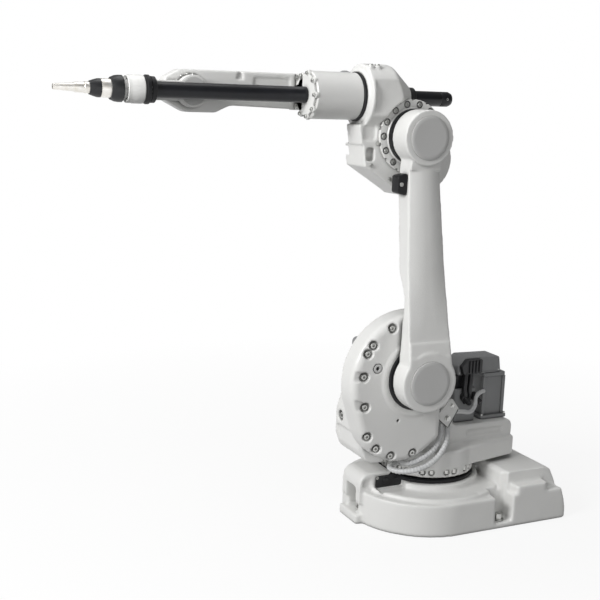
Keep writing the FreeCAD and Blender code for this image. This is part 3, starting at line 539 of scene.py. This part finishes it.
def makeTurret():
    size = {"grain": 3.8, "rounds": 6, "notchR": 10.5, "notchCircle": 147, "screwR": 8,
            "screwCircle": 142, "pairStep": 30, "pairHalf": 5.5, "stepIn": 12, "panelIn": 17, "past": 30,
            "step": [(-400, 236), (-30, 236), (-20, 262), (-44, 330), (-400, 330)], "hole": (-48, 322),
            "holeR": 17}
    cuts, screws = [], []
    for turn in range(0, 360, size["pairStep"]):
        pair = (turn - size["pairHalf"], turn + size["pairHalf"])
        cuts += [rod("z", place, 159, 175, size["notchR"], 24)
                 for place in around((0, 0), size["notchCircle"], pair)]
        screws += [socketScrew((x, y, 175.5), (0, 0, -1), size["screwR"], 13)
                   for x, y in around((0, 0), size["screwCircle"], pair)]
    for side, face in ((1, 92), (-1, 78)):
        # the body stands in from the flange, and its deck edge is chamfered
        near, far = mirrored(side, face - size["stepIn"], face + size["past"])
        cuts.append(prism("y", near, far, rounded(size["step"], 10)))
        near, far = mirrored(side, face - size["panelIn"], face + size["past"])
        cuts.append(prism("y", near, far, rectangle((-236, 250), (-96, 272), 8)))
    # threaded hole and shallow panel on the chin's front
    cuts.append(rod("x", size["hole"], 270, 300, size["holeR"], 32))
    cuts.append(prism("x", 282, 300, rectangle((-70, 236), (70, 292), 10)))
    screws.append(socketScrew((272, *size["hole"]), (1, 0, 0), 11, 12))
    casting("turret_body", "turret", "turret_casting", size, cuts=cuts)
    screwSet("turntable_screws", "turret", screws)


def makeShoulderCover():
    size = {"face": 165, "grain": 3.0, "rounds": 4, "pocketR": 15, "pocketFloor": 150, "screwR": 8.5,
            "fanIn": 12, "fanOut": 22, "reach": 60, "plug": (286, 525), "plugR": 15, "pin": (209, 361),
            "pinR": 4.5, "lipIn": 104, "lipOut": 126, "lipHigh": 167.6}
    lowCentre, highCentre = (190, 380), (160, 475)
    bolts = around(lowCentre, 134, (13, -27, -49, -74, -107)) + \
        around(highCentre, 184, (31, 40, 64, 90)) + around(highCentre, 170, (9,))
    floor, past = size["pocketFloor"], size["face"] + 5
    cuts, screws = [], []
    for x, z in bolts:
        cuts.append(turned("y", (x, z), [(floor, 0), (floor, size["pocketR"] - 2),
                                         (past, size["pocketR"] + 2), (past, 0)], 32))
        # each pocket runs out through the rim, wider as it goes
        middle = highCentre if z > 480 else lowCentre
        away = Vector((x - middle[0], z - middle[1])).normalized()
        side, here = Vector((-away.y, away.x)), Vector((x, z))
        end = here + away * size["reach"]
        fan = [here - side * size["fanIn"], end - side * size["fanOut"],
               end + side * size["fanOut"], here + side * size["fanIn"]]
        cuts.append(prism("y", 158, 180, [tuple(corner) for corner in fan]))
        screws.append(socketScrew((x, floor - 1, z), (0, 1, 0), size["screwR"], 10))
    cuts.append(rod("y", size["plug"], 157, 170, size["plugR"], 32))
    cuts.append(rod("y", size["pin"], 150, 170, size["pinR"], 16))
    lip = turned("y", shoulder, [(155, size["lipIn"]), (size["lipHigh"] - 1, size["lipIn"]),
                                 (size["lipHigh"], size["lipIn"] + 2), (size["lipHigh"], 116),
                                 (162, size["lipOut"]), (155, size["lipOut"])], 128, True)
    casting("shoulder_cover_body", "turret", "shoulder_cover", size, [lip], cuts)
    screwSet("shoulder_cover_screws", "turret", screws)
    ring = turned("y", size["plug"], [(156, 6), (164, 6), (165, 7), (165, 12), (164, 13), (156, 13)],
                  40, True)
    piece("oil_plug_ring", "turret", "cap_grey", [ring], degrees=35)
    core = rod("y", size["plug"], 150, 158, 6.2, 24)
    piece("oil_plug_core", "turret", "connector_black", [core], degrees=35)


def makeShoulderSeal():
    # rubber lip ring with a rounded outer bead
    profile = [(164, 73), (168, 73), (168, 92), (167, 97), (165, 99), (163, 99)]
    piece("shoulder_lip_seal", "turret", "seal_rubber", [turned("y", shoulder, profile, 128, True)],
          ["shoulder_seal"], degrees=50)


def makeMotorOne():
    size = {"ribX": (-262, -188), "ribY": (-43, 31), "rib": 12, "footTop": 301, "footIn": 8,
            "topThick": 12, "lidIn": 2, "lidDrop": 26, "lidSlope": 30, "rim": 7, "lidScrewR": 3.5}
    low, high = ends("axis_1_motor")
    shapes = [prism("z", 299, high[2] - 2, rectangle((-258, -39), (-180, 39), 10))]
    # corner ribs of the motor's extrusion
    shapes += [prism("z", 299, high[2] - size["topThick"],
                     rectangle((x, y), (x + size["rib"], y + size["rib"]), 3, 3))
               for x in size["ribX"] for y in size["ribY"]]
    shapes.append(prism("z", low[2], size["footTop"], rectangle(low[:2], high[:2], 10)))
    shapes.append(prism("z", high[2] - size["topThick"], high[2], rectangle((-262, -43), (-176, 43), 9)))
    piece("axis_1_motor_body", "turret", "motor_grey", shapes, ["axis_1_motor"], 1.5)
    screws = [socketScrew((x, y, size["footTop"]), (0, 0, 1), 5, 5)
              for x in (low[0] + size["footIn"], high[0] - size["footIn"])
              for y in (low[1] + size["footIn"], high[1] - size["footIn"])]
    low, high = ends("axis_1_motor_cap")
    outline = [(low[0], low[2]), (high[0], low[2]), (high[0], high[2] - size["lidDrop"]),
               (high[0] - size["lidSlope"], high[2]), (low[0] + 8, high[2] - 3)]
    lid = prism("y", low[1] + size["lidIn"], high[1] - size["lidIn"], rounded(outline, 9))
    rim = prism("z", low[2], low[2] + size["rim"], rectangle(low[:2], high[:2], 10))
    piece("axis_1_motor_lid", "turret", "motor_grey", [lid, rim], ["axis_1_motor_cap"], 3)
    screws += [socketScrew((x, y, low[2] + size["rim"]), (0, 0, 1), size["lidScrewR"], 3)
               for x in (low[0] + 9, -150, high[0] - 9) for y in (low[1] + 4, high[1] - 4)]
    screwSet("axis_1_motor_screws", "turret", screws)


def makeMotorTwo():
    size = {"flangeR": 72, "flange": 16, "ribs": 6, "ribStep": 17, "coreR": 51, "screwCircle": 63,
            "lidRound": 16, "lidScrewIn": 9}
    low, high = ends("axis_2_motor")
    centre, face = ((low[0] + high[0]) / 2, (low[2] + high[2]) / 2), high[1]
    body = [turned("y", centre, [(face, 0), (face, size["flangeR"]), (face - 13, size["flangeR"]),
                                 (face - size["flange"], size["flangeR"] - 3),
                                 (face - size["flange"], 0)], 96)]
    for k in range(size["ribs"]):  # cooling ribs round the motor
        at = face - 24 - k * size["ribStep"]
        body.append(turned("y", centre, [(at, 40), (at, 55), (at - 1, 56), (at - 8, 56), (at - 9, 55),
                                         (at - 9, 40)], 72, True))
    body.append(rod("y", centre, face - 10, low[1], size["coreR"], 72))
    piece("axis_2_motor_body", "turret", "motor_grey", body, ["axis_2_motor"], degrees=35)
    screws = [socketScrew((x, face - size["flange"], z), (0, -1, 0), 6, 6)
              for x, z in around(centre, size["screwCircle"], range(0, 360, 45))]
    low, high = ends("axis_2_motor_cap")
    lid = prism("y", low[1], high[1], rectangle((low[0], low[2]), (high[0], high[2]), size["lidRound"]))
    piece("axis_2_motor_lid", "turret", "motor_grey", [lid], ["axis_2_motor_cap"], 4)
    screws += [socketScrew((x, low[1] + 3, z), (0, -1, 0), 3.5, 3)
               for x in (low[0] + size["lidScrewIn"], high[0] - size["lidScrewIn"])
               for z in (low[2] + size["lidScrewIn"], high[2] - size["lidScrewIn"])]
    screwSet("axis_2_motor_screws", "turret", screws)


def makeConnectors():
    size = {"grips": 16, "gripCircle": 15.6, "gripR": 1.4, "dropR": 8, "spacing": 5}
    low, high = ends("connector_block")
    box = prism("z", low[2], high[2], rectangle(low[:2], high[:2], 10))
    piece("connector_housing", "turret", "motor_grey", [box], ["connector_block"], 3)
    shapes = []
    for x, y in ((-122, 20), (-86, -16)):
        shapes.append(turned("z", (x, y), [(398, 0), (398, 17), (404, 17), (406, 14), (414, 14), (416, 16),
                                           (430, 16), (432, 12), (440, 11), (440, 0)], 40))
        # grip ribs of the union nut
        angles = [360 * k / size["grips"] for k in range(size["grips"])]
        shapes += [rod("z", place, 417, 429, size["gripR"], 8)
                   for place in around((x, y), size["gripCircle"], angles)]
    for x in (-136, -96):  # angled plugs on the near face
        shapes.append(aimed(turned("z", (0, 0), [(-14, 0), (-14, 12), (6, 12), (8, 9), (30, 9), (34, 6),
                                                 (34, 0)], 28), (x, 52, 372), (-0.2, 1, -0.5)))
    shapes.append(prism("z", 398, 438, rectangle((-112, -30), (-65, 36), 8)))
    # a ribbed connector shell on the motor cap's near side, with its own two cables
    shapes.append(prism("y", 36, 54, rounded([(-160, 446), (-92, 446), (-84, 470), (-104, 492),
                                              (-160, 492)], 6)))
    for x in (-152, -140, -128, -116):
        shapes.append(block((x, 53, 450), (x + 5, 58, 488)))
    for x, far in ((-104, 44), (-124, 36)):
        drop = [(x, 46, 452), (x + 4, 52, 428), (x + 10, 56, 400), (x + 6, far + 18, 374), (x, far, 352)]
        shapes.append(hose(evenly(nurbsLine(drop), size["spacing"]), size["dropR"]))
    for y, lift, radius in ((-18, 0, 9), (6, 14, 8), (28, 4, 10)):  # cables on to the second motor
        arch = [(-76, y, 386), (-74, y, 424 + lift), (-56, y - 4, 446 + lift), (-30, y - 8, 430 + lift),
                (-12, y - 12, 396), (-6, y - 14, 372)]
        shapes.append(hose(evenly(nurbsLine(arch), size["spacing"]), radius))
    piece("connector_plugs", "turret", "connector_black", shapes, ["motor_plugs"], degrees=40)


def makeCables():
    route = {
        "low": [(140, 61, 190), (199, 87, 189), (186, 146, 190), (124, 172, 200), (62, 168, 228),
                (22, 150, 270), (6, 122, 304), (6, 122, 330)],
        "high": [(128, 84, 212), (168, 110, 211), (160, 146, 212), (112, 158, 228), (66, 152, 254),
                 (38, 138, 284), (28, 122, 306), (28, 122, 330)],
        "lead": [(-10, 116, 350), (-46, 116, 350), (-92, 100, 334), (-128, 76, 350), (-138, 60, 384),
                 (-176, 48, 384)]}
    # the conduits' wound jacket swells once in each pitch
    size = {"conduitR": 8.2, "swell": 0.8, "pitch": 10, "leadR": 7}
    shapes = [hose(evenly(nurbsLine(route[key]), 2.5), size["conduitR"], 20,
                   lambda far: size["swell"] * math.cos(2 * math.pi * far / size["pitch"]))
              for key in ("low", "high")]
    piece("clamped_conduits", "turret", "conduit_silver", shapes, ["cable_conduits"], degrees=60)
    piece("motor_supply_lead", "turret", "conduit_silver",
          [hose(evenly(nurbsLine(route["lead"]), 4), size["leadR"])], ["motor_lead"], degrees=60)


def makeClamp():
    # a square plate standing on its corner, with two folded edges and two screws
    low, high = ends("cable_clamp")
    corners = [(62, 346), (15, 306), (-22, 366), (6, 404)]
    plate = prism("y", high[1] - 9, high[1] - 3, rounded(corners, 7))
    arm = prism("y", low[1], high[1] - 6, rounded([(8, 352), (34, 352), (34, 384), (-4, 384)], 5))
    lips = [prism("y", high[1] - 16, high[1] - 3, rounded(
        [corners[i], corners[i + 1], (corners[i + 1][0] + dx, corners[i + 1][1] + dz),
         (corners[i][0] + dx, corners[i][1] + dz)], 1.5)) for i, dx, dz in ((0, -3, 4), (1, 4, 3))]
    piece("conduit_clamp", "turret", "painted_grey", [plate, arm] + lips, ["cable_clamp"], 1.2)
    screws = [hexScrew((19, high[1] - 3, 340), (0, 1, 0), 8, 8),
              hexScrew((4, high[1] - 3, 380), (0, 1, 0), 5, 5)]
    screwSet("conduit_clamp_screw", "turret", screws)


# lower arm

def makeLowerArm():
    # face: how far out the outer face stands, and half: half its width, low down and high up
    size = {"grain": 3.4, "rounds": 5, "crown": 15, "steps": 24, "levels": 12, "fade": 5,
            "face": (222, 150), "half": (74, 52), "past": 60, "ramp": 68}
    # the outer face is crowned: everything outside the crown is cut away, level by level
    rows = []
    for level in range(size["levels"] + 1):
        z = shoulderZ + 118 + (elbowZ - 92 - shoulderZ - 118) * level / size["levels"]
        share = (z - shoulderZ - 104) / (elbowZ - 86 - shoulderZ - 104)
        face, half = [low + (high - low) * share for low, high in (size["face"], size["half"])]
        crown = size["crown"] * min(1, level / size["fade"])
        line = [(shoulderX + half * 1.2 * math.cos(math.pi * k / size["steps"]),
                 face + 0.3 - crown * math.cos(math.pi * k / size["steps"]) ** 2 * 1.2)
                for k in range(size["steps"] + 1)]
        line += [(shoulderX - half * 1.4, face + size["past"]),
                 (shoulderX + half * 1.4, face + size["past"])]
        rows.append([(x, y, z) for x, y in line])
    # the column runs out smoothly over the shoulder hub
    ramp = prism("x", shoulderX - size["ramp"], shoulderX + size["ramp"], [
        (200, shoulderZ + 56), (233.5, shoulderZ + 56), (229, shoulderZ + 92), (221.5, shoulderZ + 128),
        (200, shoulderZ + 128)])
    casting("lower_arm_body", "lower_arm", "lower_arm_casting", size, [ramp], [loft(rows)])


def makeArmCaps():
    for name, node, z, radius in (("shoulder_hub_cap", "shoulder_cap", shoulderZ, 65),
                                  ("elbow_hub_cap", "elbow_cap", elbowZ, 62)):
        low, high = ends(node)
        dish = turned("y", (shoulderX, z), [(low[1] - 6, 0), (low[1] - 6, radius), (high[1] - 1.2, radius),
                                            (high[1], radius - 1.5), (high[1], radius - 12),
                                            (high[1] - 0.4, radius - 30), (high[1] - 0.2, 0)], 96)
        piece(name, "lower_arm", "cap_grey", [dish], [node], degrees=50)


def makeBumper():
    low, high = ends("stop_bumper")
    shape = prism("y", low[1], high[1], rounded([(low[0], low[2]), (high[0], low[2] + 8),
                                                 (high[0], high[2] - 8), (low[0], high[2])], 8))
    piece("stop_bumper_body", "lower_arm", "seal_rubber", [shape], ["stop_bumper"], 3)
    screw = socketScrew((high[0] - 12, high[1], (low[2] + high[2]) / 2), (0, 1, 0), 6, 2.5)
    screwSet("stop_bumper_screw", "lower_arm", [screw])


# upper arm

def makeUpperArm():
    size = {"grain": 3.2, "rounds": 5}
    cuts, adds, screws = [], [], []
    for x in (264, 286):  # lifting bosses on top, near the roll seal
        adds.append(turned("z", (x, 42), [(rollZ + 60, 0), (rollZ + 60, 13), (rollZ + 88, 11),
                                          (rollZ + 88, 0)], 32))
        screws.append(socketScrew((x, 42, rollZ + 87), (0, 0, 1), 6, 5))
    # a lip at the roll seal
    adds.append(turned("x", rollAxis, [(288, 80), (288, 92.4), (299, 92.8), (299.5, 80)], 96, True))
    # pocket under the fin, a shallow one beside the tube and a slot on the far side
    cuts.append(prism("y", 30, 60, rectangle((elbowX + 116, elbowZ - 72), (elbowX + 143, elbowZ - 34), 6)))
    cuts.append(prism("y", 46, 60, rectangle((elbowX + 112, elbowZ - 14), (elbowX + 156, elbowZ + 30), 9)))
    cuts.append(block((elbowX + 120, -70, elbowZ - 60), (elbowX + 170, -44, elbowZ - 34)))
    screws += [socketScrew((x, 51, z), (0, 1, 0), 5.5, 5) for x, z in
               ((elbowX + 108, elbowZ - 22), (elbowX + 126, elbowZ - 84), (elbowX + 62, elbowZ - 124))]
    screwSet("upper_arm_screws", "upper_arm", screws)
    casting("upper_arm_body", "upper_arm", "upper_arm_housing", size, adds, cuts)


def makeElbowGearbox():
    size = {"screws": 14, "first": 77, "circle": 94, "screwR": 7, "pocketR": 11, "notchCircle": 108,
            "notchR": 6}
    angles = [size["first"] + 360 * k / size["screws"] for k in range(size["screws"])]
    places = around(elbow, size["circle"], angles)
    flange = turned("y", elbow, [(46, 60), (46, 105), (48, 107), (60, 107), (62, 105), (62, 84),
                                  (66, 81), (66, 60)], 128, True)
    cuts = [turned("y", place, [(56, 0), (56, size["pocketR"] - 1), (70, size["pocketR"] + 1), (70, 0)], 24)
            for place in places]
    # notches in the rim between the screws
    cuts += [rod("y", place, 40, 70, size["notchR"], 20) for place in
             around(elbow, size["notchCircle"], [a + 180 / size["screws"] for a in angles])]
    piece("elbow_gearbox_flange", "upper_arm", "painted_grey", [flange], ["elbow_gearbox"], 0, 35, cuts)
    screws = [socketScrew((x, 55, z), (0, 1, 0), size["screwR"], 8) for x, z in places]
    screwSet("elbow_gearbox_screws", "upper_arm", screws)
    seal = turned("y", elbow, [(64, 60), (83.6, 60), (83.6, 74), (82, 80), (74, 81), (66, 80)], 96, True)
    piece("elbow_lip_seal", "upper_arm", "seal_rubber", [seal], degrees=50)


def makeGearCase():
    size = {"grain": 3.4, "rounds": 5, "centre": (22, 1112), "circle": 78}
    casting("axis_3_gear_case_body", "upper_arm", "axis_3_gear_case", size)
    low = ends("axis_3_gear_case")[0]
    screws = [socketScrew((x, low[1] + 1, z), (0, -1, 0), 6, 6)
              for x, z in around(size["centre"], size["circle"], range(0, 360, 45))]
    screwSet("axis_3_gear_case_screws", "upper_arm", screws)


def makeUpperMotors():
    # distances from each motor's mounting face and from its tail, with their radii
    shapes = {"axis_3_motor": ("y", [(0, 0), (0, 56), (-10, 56), (-12, 52)],
                               [(30, 52), (28, 54), (6, 54), (0, 48), (0, 0)]),
              "axis_4_motor": ("x", [(0, 0), (0, 42), (-4, 46), (-16, 46), (-18, 43)],
                               [(36, 43), (34, 45), (8, 45), (0, 38), (0, 0)])}
    for node, (axis, face, tail) in shapes.items():
        low, high = ends(node)
        along, across = (1, 0) if axis == "y" else (0, 1)
        centre = ((low[across] + high[across]) / 2, (low[2] + high[2]) / 2)
        profile = [(high[along] + far, radius) for far, radius in face]
        profile += [(low[along] + far, radius) for far, radius in tail]
        piece(node + "_body", "upper_arm", "motor_grey", [turned(axis, centre, profile, 72)], [node],
              1.5, 35)


def makeRearHose():
    low, high = ends("hose_clamp")
    band = turned("x", rollAxis, [(low[0], 20), (low[0], 29), (low[0] + 2, 31), (high[0] - 2, 31),
                                    (high[0], 29), (high[0], 20)], 64, True)
    piece("hose_gland", "upper_arm", "connector_black", [band], ["hose_clamp"], degrees=40)
    low, high = ends("rear_hose")
    sleeve = turned("x", rollAxis, [(high[0], 0), (high[0], 22), (low[0] + 44, 22), (low[0] + 42, 21),
                                      (low[0] + 40, 22), (low[0] + 14, 22), (low[0] + 5, 18), (low[0], 9),
                                      (low[0] + 3, 0)], 48)
    piece("rear_hose_sleeve", "upper_arm", "conduit_black", [sleeve], ["rear_hose"], degrees=50)
    screw = socketScrew((low[0] + 24, 21, rollZ), (0, 1, 0), 4, 1)
    screwSet("rear_hose_screw", "upper_arm", [screw])


# forearm

def makeDrum():
    low, high = ends("roll_drum")
    start, end = low[0], high[0] + 13
    body = turned("x", rollAxis, [(start, 0), (start, 65), (start + 2, 67), (end - 3, 67), (end, 64),
                                    (end, 0)], 128)
    piece("roll_drum_body", "forearm", "painted_grey", [body], ["roll_drum"], degrees=35)
    low, high = ends("roll_seal")
    seal = turned("x", rollAxis, [(low[0], 60), (low[0], 69), (low[0] + 2, 70), (high[0] - 2, 70),
                                  (high[0], 68), (high[0], 60)], 128, True)
    piece("roll_lip_seal", "forearm", "seal_rubber", [seal], ["roll_seal"], degrees=50)


def makeDrumFlange():
    size = {"lobes": 9, "root": 58, "lobe": 12, "sharp": 0.7, "points": 180, "circle": 61, "screwR": 5.5}
    low, high = ends("drum_flange")
    step = 2 * math.pi / size["points"]
    outline = []
    for k in range(size["points"]):  # a rim that swells round each screw
        swell = max(0, math.cos(size["lobes"] * k * step)) ** size["sharp"]
        reach = size["root"] + size["lobe"] * swell
        outline.append((reach * math.cos(k * step), rollZ + reach * math.sin(k * step)))
    shapes = [prism("x", high[0] - 10, high[0], outline),
              prism("x", low[0] + 6, high[0], rectangle((-112, rollZ - 44), (-20, rollZ + 59), 8))]
    piece("drum_flange_body", "forearm", "painted_grey", shapes, ["drum_flange"], 1.2, 35)
    angles = [360 * k / size["lobes"] for k in range(size["lobes"])]
    screws = [socketScrew((high[0] - 0.5, y, z), (1, 0, 0), size["screwR"], 6)
              for y, z in around(rollAxis, size["circle"], angles) if y > -50]
    screws += [hexScrew((high[0], y, z), (1, 0, 0), 6, 6) for y, z in
               ((-54, rollZ + 47), (-54, rollZ - 33), (-30, rollZ + 50))]
    screwSet("drum_flange_screws", "forearm", screws)


def makeBeam():
    size = {"grain": 3.0, "rounds": 4, "circle": 46, "lidRound": 12, "hubLidR": 47}
    # a notch in the top edge and a long shallow panel beside it
    cuts = [prism("y", -70, -50, rounded([(630, rollZ + 36), (654, rollZ + 36), (648, rollZ + 52),
                                          (636, rollZ + 70)], 2)),
            prism("y", -68, -50, rectangle((486, rollZ + 10), (600, rollZ + 46), 8))]
    casting("forearm_beam_body", "forearm", "forearm_beam", size, cuts=cuts)
    low, high = ends("forearm_beam")
    screws = [socketScrew((x, high[1] - 0.5, z), (0, 1, 0), 4.5, 4.2)
              for x, z in around((wristX, rollZ), size["circle"], range(15, 180, 22))]
    screwSet("tilt_gearbox_screws", "forearm", screws)
    low, high = ends("beam_cover")
    lid = prism("y", low[1], high[1], rectangle((low[0], low[2]), (high[0], high[2]), size["lidRound"]))
    piece("forearm_beam_lid", "forearm", "cap_grey", [lid], ["beam_cover"], 2.5)
    low, high = ends("tilt_gearbox_cover")
    lid = rod("y", (wristX, rollZ), low[1], high[1], size["hubLidR"], 72)
    piece("tilt_gearbox_lid", "forearm", "cap_grey", [lid], ["tilt_gearbox_cover"], 2.5)


def makeConduit():
    low, high = ends("front_conduit")
    flexLow, flexHigh = ends("flexible_conduit")
    radius = high[1]
    # a collar at the back end stands proud of the tube
    tube = turned("x", rollAxis, [(low[0], 0), (low[0], radius - 1), (low[0] + 4, radius),
                                  (low[0] + 12, radius), (low[0] + 14, radius - 1),
                                  (high[0], radius - 1), (high[0], 0)], 64)
    piece("main_conduit", "forearm", "conduit_black", [tube], ["front_conduit"], degrees=50)
    spans = 60
    line = [Vector((flexLow[0] + (flexHigh[0] - flexLow[0]) * k / spans, 0, rollZ))
            for k in range(spans + 1)]
    thing = toObject("wrist_conduit", [hose(line, radius - 1, 48)])
    smoothed(thing, 60)
    finished(thing, None, "conduit_black", ["flexible_conduit"])
    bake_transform(thing)


# wrist and torch

def makeWrist():
    casting("tilt_bracket_body", "wrist", "tilt_bracket", {"grain": 2.2, "rounds": 3})
    low, high = ends("wrist_collar")
    collar = turned("x", rollAxis, [(low[0], 0), (low[0], 36.5), (low[0] + 2, 38.5), (low[0] + 10, 38.5),
                                    (low[0] + 11, 37), (high[0] - 2, 36.5), (high[0], 35),
                                    (high[0], 0)], 72)
    piece("wrist_collar_body", "wrist", "seal_rubber", [collar], ["wrist_collar"], degrees=40)
    boot = turned("x", rollAxis, [(low[0] - 17, 23.4), (low[0] - 17, 30), (low[0] - 14, 34.6),
                                  (low[0] - 3, 35), (low[0] - 0.5, 33), (low[0] - 0.5, 23.4)], 72, True)
    piece("wrist_boot", "wrist", "seal_rubber", [boot], degrees=40)


def makeTool():
    # each profile starts from the piece's back face; the nozzle is a ring round its bore
    profiles = {
        "turning_disc": ("white_flange", "painted_grey",
                         [(0, 0), (0, 36), (2, 37.5), (30, 37.5), (32, 36.6), (45, 36.6), (46.7, 35),
                          (46.7, 0)]),
        "torch_spacer": ("torch_spacer_ring", "painted_grey",
                         [(0, 0), (0, 30), (9, 30), (9, 0)]),
        "torch_body": ("torch_barrel", "connector_black",
                       [(0, 0), (0, 33), (2, 35), (12, 35), (22, 33.5), (32, 29), (32, 0)]),
        "torch_collar": ("torch_white_collar", "nozzle_steel",
                         [(0, 0), (0, 24.5), (24, 24.5), (26, 23.5), (26, 0)]),
        "torch_cone": ("torch_black_cone", "connector_black",
                       [(0, 0), (0, 24.4), (8, 24.2), (18, 21.5), (29, 17.5), (29, 0)]),
        "torch_neck": ("torch_neck_ring", "nozzle_steel",
                       [(0, 0), (0, 15), (12, 15), (13, 14), (13, 0)]),
        "gas_nozzle": ("torch_nozzle", "nozzle_steel",
                       [(0, 5), (0, 13.5), (22, 13.5), (30, 11), (34, 10.6), (79, 7.7), (80, 7.2), (80, 5)])}
    for node, (name, slot, profile) in profiles.items():
        low, high = ends(node)
        shape = turned("x", rollAxis, [(low[0] + along, radius) for along, radius in profile], 72,
                       profile[0][1] > 0)
        piece(name, "tool", slot, [shape], [node], degrees=35)
    low, high = ends("turning_disc")
    screws = [socketScrew((high[0], y, z), (1, 0, 0), 2.6, 3)
              for y, z in around(rollAxis, 33, range(0, 360, 60))]
    screwSet("flange_screws", "tool", screws)


for make in (makeBase, makeTurntable, makeTurret, makeShoulderCover, makeShoulderSeal, makeMotorOne,
             makeMotorTwo, makeConnectors, makeCables, makeClamp, makeLowerArm, makeArmCaps, makeBumper,
             makeUpperArm, makeElbowGearbox, makeGearCase, makeUpperMotors, makeRearHose, makeDrum,
             makeDrumFlange, makeBeam, makeConduit, makeWrist, makeTool):
    make()
    print("made:", make.__name__)


# studio

def makeStudio():
    look = {"floor": "F4F4F3", "floorR": 14.0, "fadeIn": 0.5, "fadeOut": 2.4, "glow": 0.86,
            "dim": 0.03, "bright": 0.44, "from": (0.72, 0.1, 0.68)}
    shape = turned("z", (0, 0), [(-2.0, 0.0), (-2.0, look["floorR"] / mm), (-0.5, look["floorR"] / mm),
                                 (-0.5, 0.0)], 128)
    floor = toObject("floor", [shape])
    floor.visible_diffuse = False
    material, tree, bsdf, place = newMaterial("pale_floor", {
        "Base Color": linear(look["floor"]), "Roughness": 0.7})
    far = addNode(tree, "VectorMath", {"operation": "LENGTH"}, {0: place})
    fade = addNode(tree, "MapRange", {"From Min": look["fadeIn"], "From Max": look["fadeOut"],
                                      "To Min": look["glow"]}, {"Value": far.outputs["Value"]})
    glow = addNode(tree, "Emission", {"Color": (1, 1, 1, 1), "Strength": 1.0})
    mixed = addNode(tree, "MixShader", {}, {0: fade.outputs[0], 1: bsdf.outputs[0], 2: glow.outputs[0]})
    output = next(n for n in tree.nodes if n.type == "OUTPUT_MATERIAL")
    tree.links.new(mixed.outputs[0], output.inputs["Surface"])
    floor.data.materials.append(material)
    world = bpy.data.worlds.new("studio")
    world.use_nodes = True
    tree = world.node_tree
    tree.nodes.clear()
    seen = addNode(tree, "Background", {"Color": (1, 1, 1, 1), "Strength": 1.0})
    # the room is brighter toward the key lamp
    way = addNode(tree, "TexCoord").outputs["Generated"]
    facing = addNode(tree, "VectorMath", {"operation": "DOT_PRODUCT", 1: look["from"]}, {0: way})
    amount = addNode(tree, "MapRange", {"From Min": -1.0, "From Max": 1.0, "To Min": look["dim"],
                                        "To Max": look["bright"]}, {"Value": facing.outputs["Value"]})
    given = addNode(tree, "Background", {"Color": (1, 1, 1, 1)}, {"Strength": amount.outputs[0]})
    path = addNode(tree, "LightPath")
    both = addNode(tree, "MixShader", {}, {0: path.outputs["Is Camera Ray"], 1: given.outputs[0],
                                          2: seen.outputs[0]})
    addNode(tree, "OutputWorld", {}, {"Surface": both.outputs[0]})
    scene.world = world
    lamps = {"key": ((3.7, 1.1, 2.4), 112, 1.2), "fill": ((1.2, 4.2, 1.3), 17, 2.4),
             "top": ((0.5, -0.5, 3.8), 26, 1.8)}
    for name, (place, power, width) in lamps.items():
        lamp = bpy.data.lights.new(name, "AREA")
        lamp.energy, lamp.size = power, width
        thing = bpy.data.objects.new(name, lamp)
        scene.collection.objects.link(thing)
        thing.location = place
        thing.rotation_euler = (Vector((0.15, 0, 0.65)) - Vector(place)).to_track_quat("-Z", "Y").to_euler()
    scene.view_settings.view_transform = "Standard"


def makeCamera():
    view = {"place": (1.74096, 2.66421, 1.27835), "yaw": 0.4360, "pitch": 0.1911, "roll": 0.0306,
            "lens": 61.615, "shiftX": 0.01803, "shiftY": -0.00077}
    ahead = Vector((-math.sin(view["yaw"]), -math.cos(view["yaw"]), 0))
    right = Vector((-math.cos(view["yaw"]), math.sin(view["yaw"]), 0))
    aim = ahead * math.cos(view["pitch"]) - Vector((0, 0, 1)) * math.sin(view["pitch"])
    up = Vector((0, 0, 1)) * math.cos(view["pitch"]) + ahead * math.sin(view["pitch"])
    across = right * math.cos(view["roll"]) + up * math.sin(view["roll"])
    camera = bpy.data.objects.new("camera", bpy.data.cameras.new("camera"))
    scene.collection.objects.link(camera)
    turn = Matrix((across, (-aim).cross(across), -aim)).transposed()
    camera.matrix_world = Matrix.Translation(view["place"]) @ turn.to_4x4()
    camera.data.sensor_width, camera.data.lens = 36, view["lens"]
    camera.data.shift_x, camera.data.shift_y = view["shiftX"], view["shiftY"]
    scene.camera = camera


makeStudio()
makeCamera()
